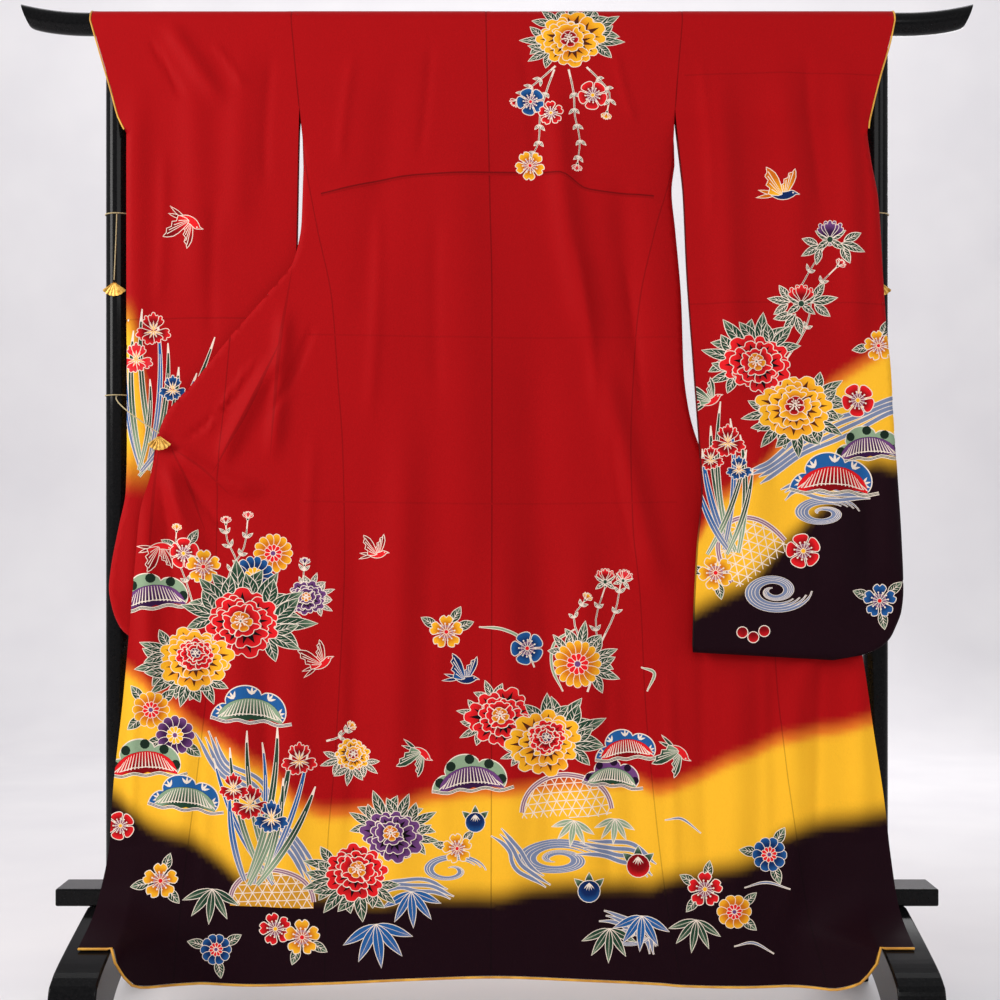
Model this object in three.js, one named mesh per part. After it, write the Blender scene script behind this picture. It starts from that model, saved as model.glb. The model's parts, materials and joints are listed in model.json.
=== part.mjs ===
// A furisode kimono on a black-lacquered kimono stand.
//
// Millimetres. X runs to the viewer's right, Y away from the viewer and Z up, and the floor is
// Z = 0. The kimono hangs with its back to the viewer. The stand's bar runs through both sleeves,
// and the two front panels are drawn out past the back panels and tied to the posts.

import * as THREE from 'three';

// ---------------------------------------------------------------------------
// Driving dimensions
// ---------------------------------------------------------------------------

const CLOTH = 2; // the silk and its lining together
const GAP = 0.3; // left between two pieces that meet
const SEAM_INSET = 0.22; // how far each cloth piece's edge keeps back from the seam line

const BAR = { z: 1685.7, halfDepth: 21, halfHeight: 19, reach: 805, sides: 16 };
const BAR_TIP = { from: 690, rise: 14, slant: 15 }; // the ends curve up and are cut on a slant
const POST = { x: 641, radius: 21, sides: 24 };
const RAIL = { reach: 738, halfDepth: 40, bottom: 200, top: 229 };
const FOOT = { x: 646, width: 74, reach: 285, archReach: 225, archHeight: 120 };

const COLLAR = { width: 50, drop: 45.7 }; // the band's width, and how far it hangs behind the bar
const COLLAR_SEAM = 0.25; // keeps the band's curved edge clear of the panels it is sewn to
const NECK_X = -18.5; // the neck's centre
const BODY_CUT = 0.727; // the share of the shoulder between armhole and neck
const HEM_ROLL = 2.2; // radii of the two gold edges
const CUFF_ROLL = 1.4;
const CUFF_LIFT = 0.7; // the cuff roll is thicker than the cloth and stands proud of the bar
const TIE_CORD = 1; // radius of the cords that hold the panels out
const FAN = { radius: 25, spread: 1.9, thick: 2.4, blades: 7, pivot: 2.5 };

const SILK = { color: 0xb3161c, roughness: 0.62, metalness: 0 };
const GOLD_SILK = { color: 0xe0a12b, roughness: 0.6, metalness: 0 };
const LACQUER = { color: 0x0b0b0c, roughness: 0.18, metalness: 0 };
const BRASS = { color: 0xc9a14a, roughness: 0.35, metalness: 0.9 };
const CORD = { color: 0xcdb98a, roughness: 0.85, metalness: 0 };

// ---------------------------------------------------------------------------
// Small helpers
// ---------------------------------------------------------------------------

const table = (names, ...rows) => rows.map((row) => Object.fromEntries(
  names.split(' ').map((name, i) => [name, row[i]]),
));
const clamp = (value) => Math.min(Math.max(value, 0), 1);
const smooth = (value) => clamp(value) ** 2 * (3 - 2 * clamp(value));
const mix = (a, b, t) => a + (b - a) * t;
const range = (count) => Array.from({ length: count }, (_, i) => i);

// The value of column `to` where column `from` has the value `at`, on a curve through the rows
// that never swings past them. Column `from` goes up from row to row.
function read(rows, from, to, at) {
  const last = rows.length - 1;
  if (at <= rows[0][from]) return rows[0][to];
  if (at >= rows[last][from]) return rows[last][to];
  const steep = (i) => (rows[i + 1][to] - rows[i][to]) / (rows[i + 1][from] - rows[i][from]);
  const slope = (i) => {
    if (i === 0) return steep(0);
    if (i === last) return steep(last - 1);
    const [before, after] = [steep(i - 1), steep(i)];
    return before * after <= 0 ? 0 : (2 * before * after) / (before + after);
  };
  let i = 0;
  while (at > rows[i + 1][from]) i += 1;
  const span = rows[i + 1][from] - rows[i][from];
  const t = (at - rows[i][from]) / span;
  return mix(rows[i][to], rows[i + 1][to], t * t * (3 - 2 * t))
    + span * t * (1 - t) * (slope(i) * (1 - t) - slope(i + 1) * t);
}

// A line through [x, z] corners that can be walked by the share of its length.
function walk(corners) {
  const curve = new THREE.CatmullRomCurve3(
    corners.map(([x, z]) => new THREE.Vector3(x, 0, z)), false, 'centripetal',
  );
  return (share) => {
    const at = curve.getPointAt(clamp(share));
    return [at.x, at.z];
  };
}

// ---------------------------------------------------------------------------
// Cloth: a surface of joined patches, given its thickness as a closed wall
// ---------------------------------------------------------------------------

class Surface {
  constructor() {
    this.points = [];
    this.faces = [];
    this.known = new Map();
  }

  point(place) {
    const key = place.map((v) => Math.round(v * 100)).join();
    if (!this.known.has(key)) {
      this.known.set(key, this.points.length);
      this.points.push(new THREE.Vector3(...place));
    }
    return this.known.get(key);
  }

  // Rows of points, all of one length. Rows that shrink to one point make a fan.
  patch(rows) {
    const ids = rows.map((row) => row.map((place) => this.point(place)));
    for (let r = 0; r + 1 < ids.length; r += 1) {
      for (let c = 0; c + 1 < ids[r].length; c += 1) {
        const [a, b, d, e] = [ids[r][c], ids[r][c + 1], ids[r + 1][c + 1], ids[r + 1][c]];
        const split = this.points[a].distanceTo(this.points[d])
          <= this.points[b].distanceTo(this.points[e]);
        const halves = split ? [[a, b, d], [a, d, e]] : [[a, b, e], [b, d, e]];
        this.faces.push(...halves.filter((f) => new Set(f).size === 3));
      }
    }
    return this;
  }

  // Turns every face the same way round as its neighbours.
  orient() {
    const byEdge = new Map();
    const edges = (face) => face.map((a, i) => [a, face[(i + 1) % 3]]);
    this.faces.forEach((face, f) => edges(face).forEach(([a, b]) => {
      const key = a < b ? `${a} ${b}` : `${b} ${a}`;
      byEdge.set(key, [...(byEdge.get(key) ?? []), f]);
    }));
    const done = new Set();
    for (const start of this.faces.keys()) {
      if (done.has(start)) continue;
      done.add(start);
      const queue = [start];
      while (queue.length) {
        const f = queue.pop();
        for (const [a, b] of edges(this.faces[f])) {
          const key = a < b ? `${a} ${b}` : `${b} ${a}`;
          for (const other of byEdge.get(key)) {
            if (done.has(other)) continue;
            if (edges(this.faces[other]).some(([c, d]) => c === a && d === b)) {
              this.faces[other].reverse();
            }
            done.add(other);
            queue.push(other);
          }
        }
      }
    }
    return this;
  }

  // Edges that belong to one face only, as [from, to, the face's third corner] along that face.
  rim() {
    const edges = this.faces.flatMap((f) => f.map((a, i) => [a, f[(i + 1) % 3], f[(i + 2) % 3]]));
    const used = new Set(edges.map(([a, b]) => `${a} ${b}`));
    return edges.filter(([a, b]) => !used.has(`${b} ${a}`));
  }

  // Draws the surface's edges in by `inset`, so that pieces sewn together don't touch.
  trim(inset) {
    const pull = new Map();
    for (const [a, b, c] of this.rim()) {
      const [p, q, r] = [a, b, c].map((i) => this.points[i]);
      const ahead = q.clone().sub(p).normalize();
      const inward = r.clone().sub(p);
      inward.addScaledVector(ahead, -inward.dot(ahead)).normalize();
      for (const i of [a, b]) pull.set(i, (pull.get(i) ?? new THREE.Vector3()).add(inward));
    }
    for (const [i, way] of pull) this.points[i].addScaledVector(way.normalize(), inset);
    return this;
  }

  normals() {
    const normals = this.points.map(() => new THREE.Vector3());
    for (const [a, b, c] of this.faces) {
      const [p, q, r] = [this.points[a], this.points[b], this.points[c]];
      const normal = q.clone().sub(p).cross(r.clone().sub(p));
      for (const i of [a, b, c]) normals[i].add(normal);
    }
    return normals.map((n) => n.normalize());
  }

  // The closed wall, `thick` through, half on each side of the surface.
  wall(thick) {
    this.orient().trim(SEAM_INSET);
    const normals = this.normals();
    const count = this.points.length;
    const places = [1, -1].flatMap((side) => this.points.map(
      (p, i) => p.clone().addScaledVector(normals[i], (side * thick) / 2),
    ));
    const triangles = [];
    for (const [a, b, c] of this.faces) {
      triangles.push([a, b, c], [c + count, b + count, a + count]);
    }
    for (const [a, b] of this.rim()) {
      triangles.push([b, a, a + count], [b, a + count, b + count]);
    }
    return solid(places, triangles);
  }
}

// A geometry from points and triangles, turned inside out if its volume is negative.
function solid(places, triangles) {
  const used = new Map();
  const kept = [];
  const id = (i) => {
    if (!used.has(i)) {
      used.set(i, kept.length);
      kept.push(places[i]);
    }
    return used.get(i);
  };
  const faces = triangles.map((t) => t.map(id));
  const volume = faces.reduce((sum, [a, b, c]) => sum
    + kept[a].dot(kept[b].clone().cross(kept[c])), 0);
  if (volume < 0) faces.forEach((face) => face.reverse());
  const geometry = new THREE.BufferGeometry();
  geometry.setAttribute('position', new THREE.Float32BufferAttribute(
    kept.flatMap((p) => [p.x, p.y, p.z]), 3,
  ));
  geometry.setIndex(faces.flat());
  return geometry;
}

// A closed tube of equal rings, each a list of Vector3, with flat ends.
function loft(rings) {
  const sides = rings[0].length;
  const places = rings.flat();
  const last = (rings.length - 1) * sides;
  const triangles = [];
  for (const i of range(sides)) {
    const j = (i + 1) % sides;
    for (const r of range(rings.length - 1)) {
      const [a, b, c, d] = [r * sides + i, r * sides + j, (r + 1) * sides + j, (r + 1) * sides + i];
      triangles.push([a, b, c], [a, c, d]);
    }
    if (i > 0 && i + 1 < sides) {
      triangles.push([0, i + 1, i], [last, last + i, last + i + 1]);
    }
  }
  return solid(places, triangles);
}

// A round cord of `radius` along a line of Vector3 points.
function cordAlong(points, radius, sides = 6) {
  const rings = points.map((p, i) => {
    const before = points[Math.max(i - 1, 0)];
    const after = points[Math.min(i + 1, points.length - 1)];
    const ahead = after.clone().sub(before).normalize();
    const guide = Math.abs(ahead.y) < 0.9 ? new THREE.Vector3(0, 1, 0) : new THREE.Vector3(1, 0, 0);
    const across = guide.clone().cross(ahead).normalize();
    const over = ahead.clone().cross(across);
    return range(sides).map((k) => {
      const angle = (2 * Math.PI * k) / sides;
      return p.clone().addScaledVector(across, radius * Math.cos(angle))
        .addScaledVector(over, radius * Math.sin(angle));
    });
  });
  return loft(rings);
}

const root = new THREE.Group();

function add(name, geometry, finish) {
  const mesh = new THREE.Mesh(geometry, new THREE.MeshStandardMaterial(finish));
  mesh.name = name;
  root.add(mesh);
  return mesh;
}

// ---------------------------------------------------------------------------
// How the cloth hangs: each layer's depth by height, and its folds
// ---------------------------------------------------------------------------

// Depth of the layers that hang on the viewer's side of the bar (near) and on the other side
// (far), for the body and its front panels, and for the sleeves.
const HANG = {
  left: {
    body: table('z y', [0, -70], [300, -68], [1000, -66], [1300, -65], [1431, -54],
      [1535, -41], [1600, -33], [1650, -26], [BAR.z, -22.3]),
    front: table('z y', [0, -54], [1340, -53], [1431, -44], [1480, -30], [1535, -10],
      [1580, 8], [1620, 20], [1650, 24.5], [BAR.z, 22.3]),
    sleeveNear: table('z y', [0, -46], [1431, -46], [1490, -45], [1535, -41], [1600, -33],
      [1650, -26], [BAR.z, -22.3]),
    sleeveFar: table('z y', [0, -26], [1490, -26], [1535, -10], [1580, 8], [1620, 20],
      [1650, 24.5], [BAR.z, 22.3]),
  },
  right: {
    body: table('z y', [0, -68], [300, -62], [520, -48], [900, -44], [1300, -43],
      [1431, -40], [1535, -36], [1600, -31], [1650, -26], [BAR.z, -22.3]),
    front: table('z y', [0, -31], [1340, -30], [1431, -28], [1480, -22], [1535, -10],
      [1580, 8], [1620, 20], [1650, 24.5], [BAR.z, 22.3]),
    sleeveNear: table('z y', [0, -76], [1380, -76], [1431, -70], [1490, -52], [1535, -36],
      [1600, -31], [1650, -26], [BAR.z, -22.3]),
    sleeveFar: table('z y', [0, -56], [1380, -56], [1431, -50], [1490, -30], [1535, -10],
      [1580, 8], [1620, 20], [1650, 24.5], [BAR.z, 22.3]),
  },
};

// Folds: each runs from its upper end to its lower end, bowed to the right by `bow` in between,
// `width` from its crest to its foot, `depth` towards the viewer, or away where it is negative.
const FOLD_COLUMNS = 'x0 z0 x1 z1 bow width depth';
const BODY_FOLDS = table(FOLD_COLUMNS,
  [-161, 1650, -228, 1120, 0, 28, -5],
  [100, 1600, 172, 1090, -20, 22, 9],
  [165, 1140, 278, 690, 0, 24, 9],
  [205, 1440, 236, 1060, 0, 22, -5],
  [-62, 1560, -44, 560, 0, 42, 5],
  [58, 1250, 92, 190, 0, 36, -6],
  [-150, 1080, -172, 130, 0, 30, 7],
  [-226, 920, -250, 110, 0, 26, -4],
  [8, 900, 22, 100, 6, 32, 5],
  [140, 900, 152, 100, 0, 28, 6],
  [214, 700, 232, 100, 0, 24, -4],
  [-352, 1130, -462, 925, -6, 14, 8],
  [-350, 1215, -374, 930, 4, 14, 7],
  [-548, 972, -376, 890, -14, 16, 7],
  [-560, 962, -466, 640, 10, 20, 8],
  [-576, 930, -566, 480, -6, 18, 8],
  [-430, 820, -418, 190, 0, 30, 7],
  [-330, 740, -352, 140, 0, 28, 6],
  [-500, 700, -528, 240, 0, 22, 6],
  [330, 990, 480, 560, 8, 22, 4],
  [562, 770, 470, 400, -8, 22, 5],
  [592, 700, 604, 300, 6, 20, 6],
  [404, 640, 390, 140, 0, 30, 7],
  [506, 560, 474, 140, 0, 24, 6]);
const FRONT_FOLDS = table(FOLD_COLUMNS,
  [-280, 1660, -300, 1300, 0, 20, 3],
  [-200, 1670, -240, 1240, 0, 22, 4],
  [-140, 1650, -190, 1330, 0, 18, 3],
  [160, 1660, 210, 1200, 0, 22, -6],
  [240, 1660, 270, 1240, 0, 20, -5]);
const SLEEVE_FOLDS = table(FOLD_COLUMNS,
  [-562, 1690, -450, 1530, 0, 16, 5],
  [-600, 1600, -596, 1060, -4, 22, 5],
  [-512, 1640, -500, 1180, 6, 26, 4],
  [-420, 1660, -436, 1290, 0, 26, 4],
  [-600, 900, -612, 690, 0, 20, 3],
  [372, 1640, 402, 1000, -8, 26, 7],
  [470, 1660, 490, 1120, 10, 30, 6],
  [580, 1640, 596, 1060, -6, 24, 7],
  [430, 1050, 412, 650, 0, 30, 6],
  [540, 1100, 572, 660, 6, 30, 8],
  [640, 980, 646, 720, 0, 18, 6]);

function relief(folds, x, z) {
  let sum = 0;
  for (const f of folds) {
    const [dx, dz] = [f.x1 - f.x0, f.z1 - f.z0];
    const long = Math.hypot(dx, dz);
    const t = ((x - f.x0) * dx + (z - f.z0) * dz) / long ** 2;
    const off = ((z - f.z0) * dx - (x - f.x0) * dz) / long - f.bow * 4 * t * (1 - t);
    const ends = smooth(t / 0.25) * smooth((1 - t) / 0.25);
    sum += f.depth * ends * Math.exp(-((off / f.width) ** 2));
  }
  return sum;
}

// The panels' lower corners slide forward over the tops of the feet: how far, by height.
const OVER_FOOT = table('z forward', [164, 137], [172, 108], [184, 70], [200, 40], [220, 22],
  [250, 10], [310, 0]);
const OVER_FOOT_FROM = 470; // half the width of the cloth that hangs straight between the feet
const FOOT_TOP_FROM = 600;

function overFoot(x, z, straight) {
  const share = clamp((Math.abs(x) - OVER_FOOT_FROM) / (FOOT_TOP_FROM - OVER_FOOT_FROM)) ** 2;
  return straight - share * read(OVER_FOOT, 'z', 'forward', z);
}

// Depth of the cloth of the back and of the spread front panels. Left and right hang at
// different depths and blend across the back.
function bodyY(x, z) {
  const side = smooth((x + 230) / 430);
  const hang = mix(read(HANG.left.body, 'z', 'y', z), read(HANG.right.body, 'z', 'y', z), side);
  return overFoot(x, z, hang - relief(BODY_FOLDS, x, z));
}

function frontY(side, x, z) {
  return read(HANG[side].front, 'z', 'y', z) - relief(FRONT_FOLDS, x, z);
}

// The cloth's middle surface over the bar, at `angle` from the viewer's side (0) to the far side.
const overBar = (x, angle, lift = 0) => [
  x,
  -(BAR.halfDepth + GAP + CLOTH / 2 + lift) * Math.cos(angle),
  BAR.z + (BAR.halfHeight + GAP + CLOTH / 2 + lift) * Math.sin(angle),
];
const BAR_STEPS = BAR.sides / 2; // steps of the cloth over the bar, on the corners of its section
const barAngle = (step) => (Math.PI * step) / BAR_STEPS;

// ---------------------------------------------------------------------------
// The panels' outlines, seen from the viewer's side
// ---------------------------------------------------------------------------

// The hem's height by x, low between the feet and lifted on top of them.
const HEM = table('x z', [-661, 168], [-604, 168], [-595, 143], [-587, 122], [-575, 102],
  [-550, 92], [-500, 84], [-400, 79], [-285, 82], [-150, 88], [-8, 92], [150, 86], [272, 80],
  [306, 77], [400, 75], [470, 77], [540, 83], [574, 104], [587, 126], [595, 146], [604, 168],
  [659, 168]);
const HEM_LEVEL = 76; // the lowest row's nominal height
const HEM_FADE = 320; // rows above this height are level

const CENTRE = table('z x', [76, -10], [500, -9], [1200, -8.5], [1412, -12.7], [BAR.z, -18.5]);

const OUTLINE = {
  left: {
    // the side seam, and above it the edge of the armhole
    side: table('z x', [76, -285], [300, -280], [450, -268], [646, -257], [795, -252],
      [961, -255], [1077, -263], [1209, -273], [1326, -297], [1431, -317], [1535, -330]),
    shoulderX: -346,
    okumi: table('z x', [76, -530], [222, -520], [384, -500], [548, -481], [713, -466],
      [919, -461], [1050, -450], [1150, -441]),
    edge: table('z x', [164, -661], [230, -652], [300, -641], [403, -634], [548, -618],
      [656, -608], [797, -595], [862, -588], [936, -569], [980, -565]),
    // where the front panel folds back on itself, from the tie up to the armhole
    fold: table('z x', [980, -565], [1024, -546], [1068, -507], [1134, -454], [1150, -441],
      [1181, -414], [1219, -381], [1278, -336], [1340, -324], [1431, -322]),
    tie: 980,
    cross: 1150, // where the okumi seam passes round the fold
    openTop: 1431, // the armhole's lower end, where the side seam starts
    collarEdge: [[-565, 980], [-505, 968], [-420, 990], [-335, 1060], [-255, 1160],
      [-195, 1280], [-150, 1420]],
    collarTop: [[-150, 1420], [-124, 1560], [-111, 1640]],
    okumiBack: [[-441, 1150], [-340, 1225], [-235, 1330], [-150, 1420]],
  },
  right: {
    side: table('z x', [76, 306], [210, 281], [377, 261], [545, 247], [712, 239], [845, 226],
      [962, 222], [1079, 227], [1213, 239], [1330, 264], [1438, 292], [1535, 298]),
    shoulderX: 311.5,
    okumi: table('z x', [76, 541], [187, 515], [333, 493], [481, 475], [600, 464], [858, 452]),
    edge: table('z x', [164, 659], [230, 656], [300, 650], [381, 642], [500, 625], [613, 608],
      [700, 592], [790, 575]),
    fold: table('z x', [790, 575], [815, 520], [858, 452], [905, 385], [962, 341], [1037, 319],
      [1095, 312], [1212, 308], [1330, 298], [1395, 292], [1438, 297]),
    tie: 790,
    cross: 858,
    openTop: 1438,
    collarEdge: [[575, 790], [515, 782], [430, 806], [345, 876], [270, 980], [205, 1120],
      [150, 1280]],
    collarTop: [[150, 1280], [112, 1450], [86, 1570], [74, 1640]],
    okumiBack: [[452, 858], [384, 868], [320, 940], [255, 1060], [200, 1180], [150, 1280]],
  },
};

const ARMHOLE_LOW = 1535; // the sleeve is sewn to the body from here up to the shoulder

// The edge of the back panel: side seam, then the open stretch, then the armhole seam.
const sideX = (side, z) => {
  const low = read(OUTLINE[side].side, 'z', 'x', z);
  return mix(low, OUTLINE[side].shoulderX, clamp((z - ARMHOLE_LOW) / (BAR.z - ARMHOLE_LOW)));
};

const LOW_ROWS = [HEM_LEVEL, 100, 135, 180, 235, 310, 400, 490, 580, 680];
const ROWS = {
  left: {
    spread: [...LOW_ROWS, 780, 880, 940, 980, 1030, 1080, 1150],
    folded: [1150, 1181, 1219, 1278, 1340, 1388, 1431],
  },
  right: {
    spread: [...LOW_ROWS, 740, 790, 820, 858],
    folded: [858, 905, 962, 1037, 1110, 1212, 1300, 1380, 1438],
  },
};
const ARMHOLE_ROWS = [1480, ARMHOLE_LOW, 1580, 1620, 1650, BAR.z];

const BODY_LINES = 10; // steps across a back panel, of which the first 7 run on over the shoulder
const SHOULDER_LINES = 7;
const bodyShare = (line) => (line <= SHOULDER_LINES
  ? (BODY_CUT * line) / SHOULDER_LINES
  : BODY_CUT + ((1 - BODY_CUT) * (line - SHOULDER_LINES)) / (BODY_LINES - SHOULDER_LINES));
const shoulderX = (side, line) => mix(OUTLINE[side].shoulderX, NECK_X, bodyShare(line));
const SPREAD_LINES = 7;
// Steps across an okumi panel, closer where it comes off the foot.
const OKUMI_SHARES = [0, 0.2, 0.38, 0.47, 0.52, 0.57, 0.78, 1];
const OKUMI_TIP = 9; // how far below the body's crossing point the okumi starts to turn back
const CROSS_BACK = 0.25;
const TURN = 5; // how far in from its crest a fold-back starts to turn

// A row's real height at x: the lowest rows follow the hem.
function rowZ(x, level) {
  const lift = clamp((HEM_FADE - level) / (HEM_FADE - HEM_LEVEL));
  return level + (read(HEM, 'x', 'z', x) - HEM_LEVEL) * lift;
}

const bodyPoint = (x, level) => {
  const z = rowZ(x, level);
  return [x, bodyY(x, z), z];
};

// The crest of the fold-back, half way between the spread layer and the returned one, but for the
// body's lowest point on it, which lies in front of the okumi that turns back just below.
const crestPoint = (side, z) => {
  const x = read(OUTLINE[side].fold, 'z', 'x', z);
  const back = z === OUTLINE[side].cross ? CROSS_BACK : 0.5;
  return [x, mix(bodyY(x, z), frontY(side, x, z), back), z];
};

// Shares along a row that ends in a fold-back: even, with the last step just the turn.
function turningShares(lines, width) {
  const turn = Math.min(TURN / Math.max(width, 1), 0.4);
  return range(lines + 1).map((i) => (i === lines ? 1 : ((1 - turn) * i) / (lines - 1)));
}

// One row of the spread layer from x0 out to x1, ending in a crest where it folds back.
function spreadRow(side, x0, x1, level, shares, folds) {
  return shares.map((share) => {
    if (share === 1 && folds) return crestPoint(side, level);
    return bodyPoint(mix(x0, x1, share), level);
  });
}

// The seam lines on the far layer, as [x, z] points that both pieces along a seam share: the okumi
// seam from the fold up to its tip on the collar seam, and the collar seam above and below that.
const SEAM_STEPS = 6;
const pointsAlong = (line, steps) => range(steps + 1).map((i) => walk(line)(i / steps));
const frontRows = (side) => [...ROWS[side].folded, ...ARMHOLE_ROWS.slice(0, -1)];
const okumiRows = (side) => ROWS[side].spread
  .map((z) => Math.min(z, OUTLINE[side].cross - OKUMI_TIP));
const foldRows = (side) => okumiRows(side).filter((z) => z >= OUTLINE[side].tie);
const seamBehind = (side) => pointsAlong(OUTLINE[side].okumiBack, SEAM_STEPS);
const collarAbove = (side) => pointsAlong(OUTLINE[side].collarTop,
  frontRows(side).length - 1 - SEAM_STEPS);
const collarBelow = (side) => pointsAlong(OUTLINE[side].collarEdge,
  foldRows(side).length - 1 + SEAM_STEPS);

// ---------------------------------------------------------------------------
// The body panels: back, shoulder, front and the part of the front that is spread out
// ---------------------------------------------------------------------------

function bodyPanel(side) {
  const shape = OUTLINE[side];
  const rows = ROWS[side];
  const surface = new Surface();
  // back, from the hem up, then over the bar
  const levels = [...rows.spread, ...rows.folded.slice(1), ...ARMHOLE_ROWS];
  const back = levels.map((level) => range(BODY_LINES + 1).map((line) => {
    const centre = read(CENTRE, 'z', 'x', level);
    return bodyPoint(mix(sideX(side, level), centre, bodyShare(line)), level);
  }));
  const near = range(BAR_STEPS / 2).map((i) => range(BODY_LINES + 1)
    .map((line) => overBar(shoulderX(side, line), barAngle(i + 1))));
  surface.patch([...back, ...near]);
  const far = range(BAR_STEPS / 2 + 1).map((i) => range(SHOULDER_LINES + 1)
    .map((line) => overBar(shoulderX(side, line), barAngle(i + BAR_STEPS / 2))));

  // front, from the shoulder down to where the okumi seam passes round the fold
  const upward = frontRows(side);
  const inner = [...seamBehind(side), ...collarAbove(side).slice(1)];
  const front = upward.map((z, i) => {
    const folded = z <= shape.openTop;
    const outerX = folded ? read(shape.fold, 'z', 'x', z) : sideX(side, z);
    const [innerX, innerZ] = inner[i];
    const width = Math.hypot(innerX - outerX, innerZ - z);
    const shares = folded ? turningShares(SHOULDER_LINES, width).map((s) => 1 - s).reverse()
      : range(SHOULDER_LINES + 1).map((line) => line / SHOULDER_LINES);
    return shares.map((share) => {
      if (i === 0 || (share === 0 && folded)) return crestPoint(side, z);
      const [x, height] = [mix(outerX, innerX, share), mix(z, innerZ, share)];
      return [x, frontY(side, x, height), height];
    });
  });
  surface.patch([...far, ...front.reverse()]);

  // the spread part, from the side seam out to the okumi seam, or to the fold above it
  const spread = [...rows.spread, ...rows.folded.slice(1)].map((level) => {
    const folds = level >= shape.cross;
    const outer = folds ? shape.fold : shape.okumi;
    const [x0, x1] = [sideX(side, level), read(outer, 'z', 'x', level)];
    const shares = turningShares(SPREAD_LINES, Math.abs(x1 - x0));
    return spreadRow(side, x0, x1, level, shares, folds);
  });
  surface.patch(spread);
  return surface;
}

// ---------------------------------------------------------------------------
// The okumi: the long narrow panel on each front's free edge
// ---------------------------------------------------------------------------

function okumiPanel(side) {
  const shape = OUTLINE[side];
  const surface = new Surface();
  const spread = okumiRows(side).map((level, i, levels) => {
    const folds = level >= shape.tie;
    const outer = folds ? shape.fold : shape.edge;
    const edgeZ = Math.max(level, 164);
    const [x0, x1] = [read(shape.okumi, 'z', 'x', level), read(outer, 'z', 'x', edgeZ)];
    const shares = folds ? turningShares(OKUMI_SHARES.length - 1, Math.abs(x1 - x0))
      : OKUMI_SHARES;
    if (i === levels.length - 1) return shares.map(() => crestPoint(side, level));
    return spreadRow(side, x0, x1, level, shares, folds);
  });
  surface.patch(spread);

  // the part that is folded back, between the fold, then the okumi seam, and the collar
  const crest = foldRows(side);
  const seam = seamBehind(side);
  const folded = collarBelow(side).map(([x1, z1], i) => {
    const onFold = i < crest.length;
    const [x0, z0] = onFold ? [read(shape.fold, 'z', 'x', crest[i]), crest[i]]
      : seam[i - crest.length + 1];
    return [0, 0.34, 0.67, 1].map((share) => {
      if (onFold && (share === 0 || i === 0)) return crestPoint(side, crest[i]);
      const [x, z] = [mix(x0, x1, share), mix(z0, z1, share)];
      return [x, frontY(side, x, z), z];
    });
  });
  surface.patch(folded);
  return surface;
}

// ---------------------------------------------------------------------------
// The collar: a band from one front, round the back of the neck, to the other
// ---------------------------------------------------------------------------

function collarBand() {
  const surface = new Surface();
  const across = 3;
  const top = BAR.z - COLLAR.drop;
  const ends = { left: [-111, -61], right: [74, 24] };
  const lines = [
    ...range(across + 1).map((i) => mix(...ends.left, i / across)),
    -32, -4.5,
    ...range(across + 1).map((i) => mix(...ends.right, 1 - i / across)),
  ];
  const neckX = { left: shoulderX('left', SHOULDER_LINES), right: shoulderX('right', SHOULDER_LINES) };
  const atNeck = (x) => mix(neckX.left, neckX.right,
    (x - ends.left[0]) / (ends.right[0] - ends.left[0]));
  const rows = range(BAR_STEPS / 2 + 1).map((i) => lines
    .map((x) => overBar(atNeck(x), barAngle(BAR_STEPS / 2 + i))));
  rows.push(lines.map((x) => [x, frontY('left', x, top), top]));
  surface.patch(rows);

  for (const side of ['left', 'right']) {
    const path = [...collarBelow(side), ...collarAbove(side).slice(1)].reverse();
    const inward = side === 'left' ? 1 : -1;
    const [outer, inner] = ends[side];
    const bands = path.map(([x, z], i) => {
      const [x2, z2] = path[Math.min(i + 1, path.length - 1)];
      const [x3, z3] = path[Math.max(i - 1, 0)];
      const long = Math.hypot(x3 - x2, z3 - z2);
      const [nx, nz] = [(inward * (z3 - z2)) / long, (-inward * (x3 - x2)) / long];
      return range(across + 1).map((j) => {
        const out = COLLAR_SEAM + (COLLAR.width * j) / across;
        if (i === 0) {
          const lineX = mix(outer, inner, j / across);
          return [lineX, frontY('left', lineX, top), top];
        }
        const [px, pz] = [x + nx * out, z + nz * out];
        return [px, frontY(side, px, pz), pz];
      });
    });
    surface.patch(bands);
  }
  return surface;
}

// ---------------------------------------------------------------------------
// The sleeves: tubes over the bar, closed at the bottom and at the outer edge below the cuff
// ---------------------------------------------------------------------------

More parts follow.
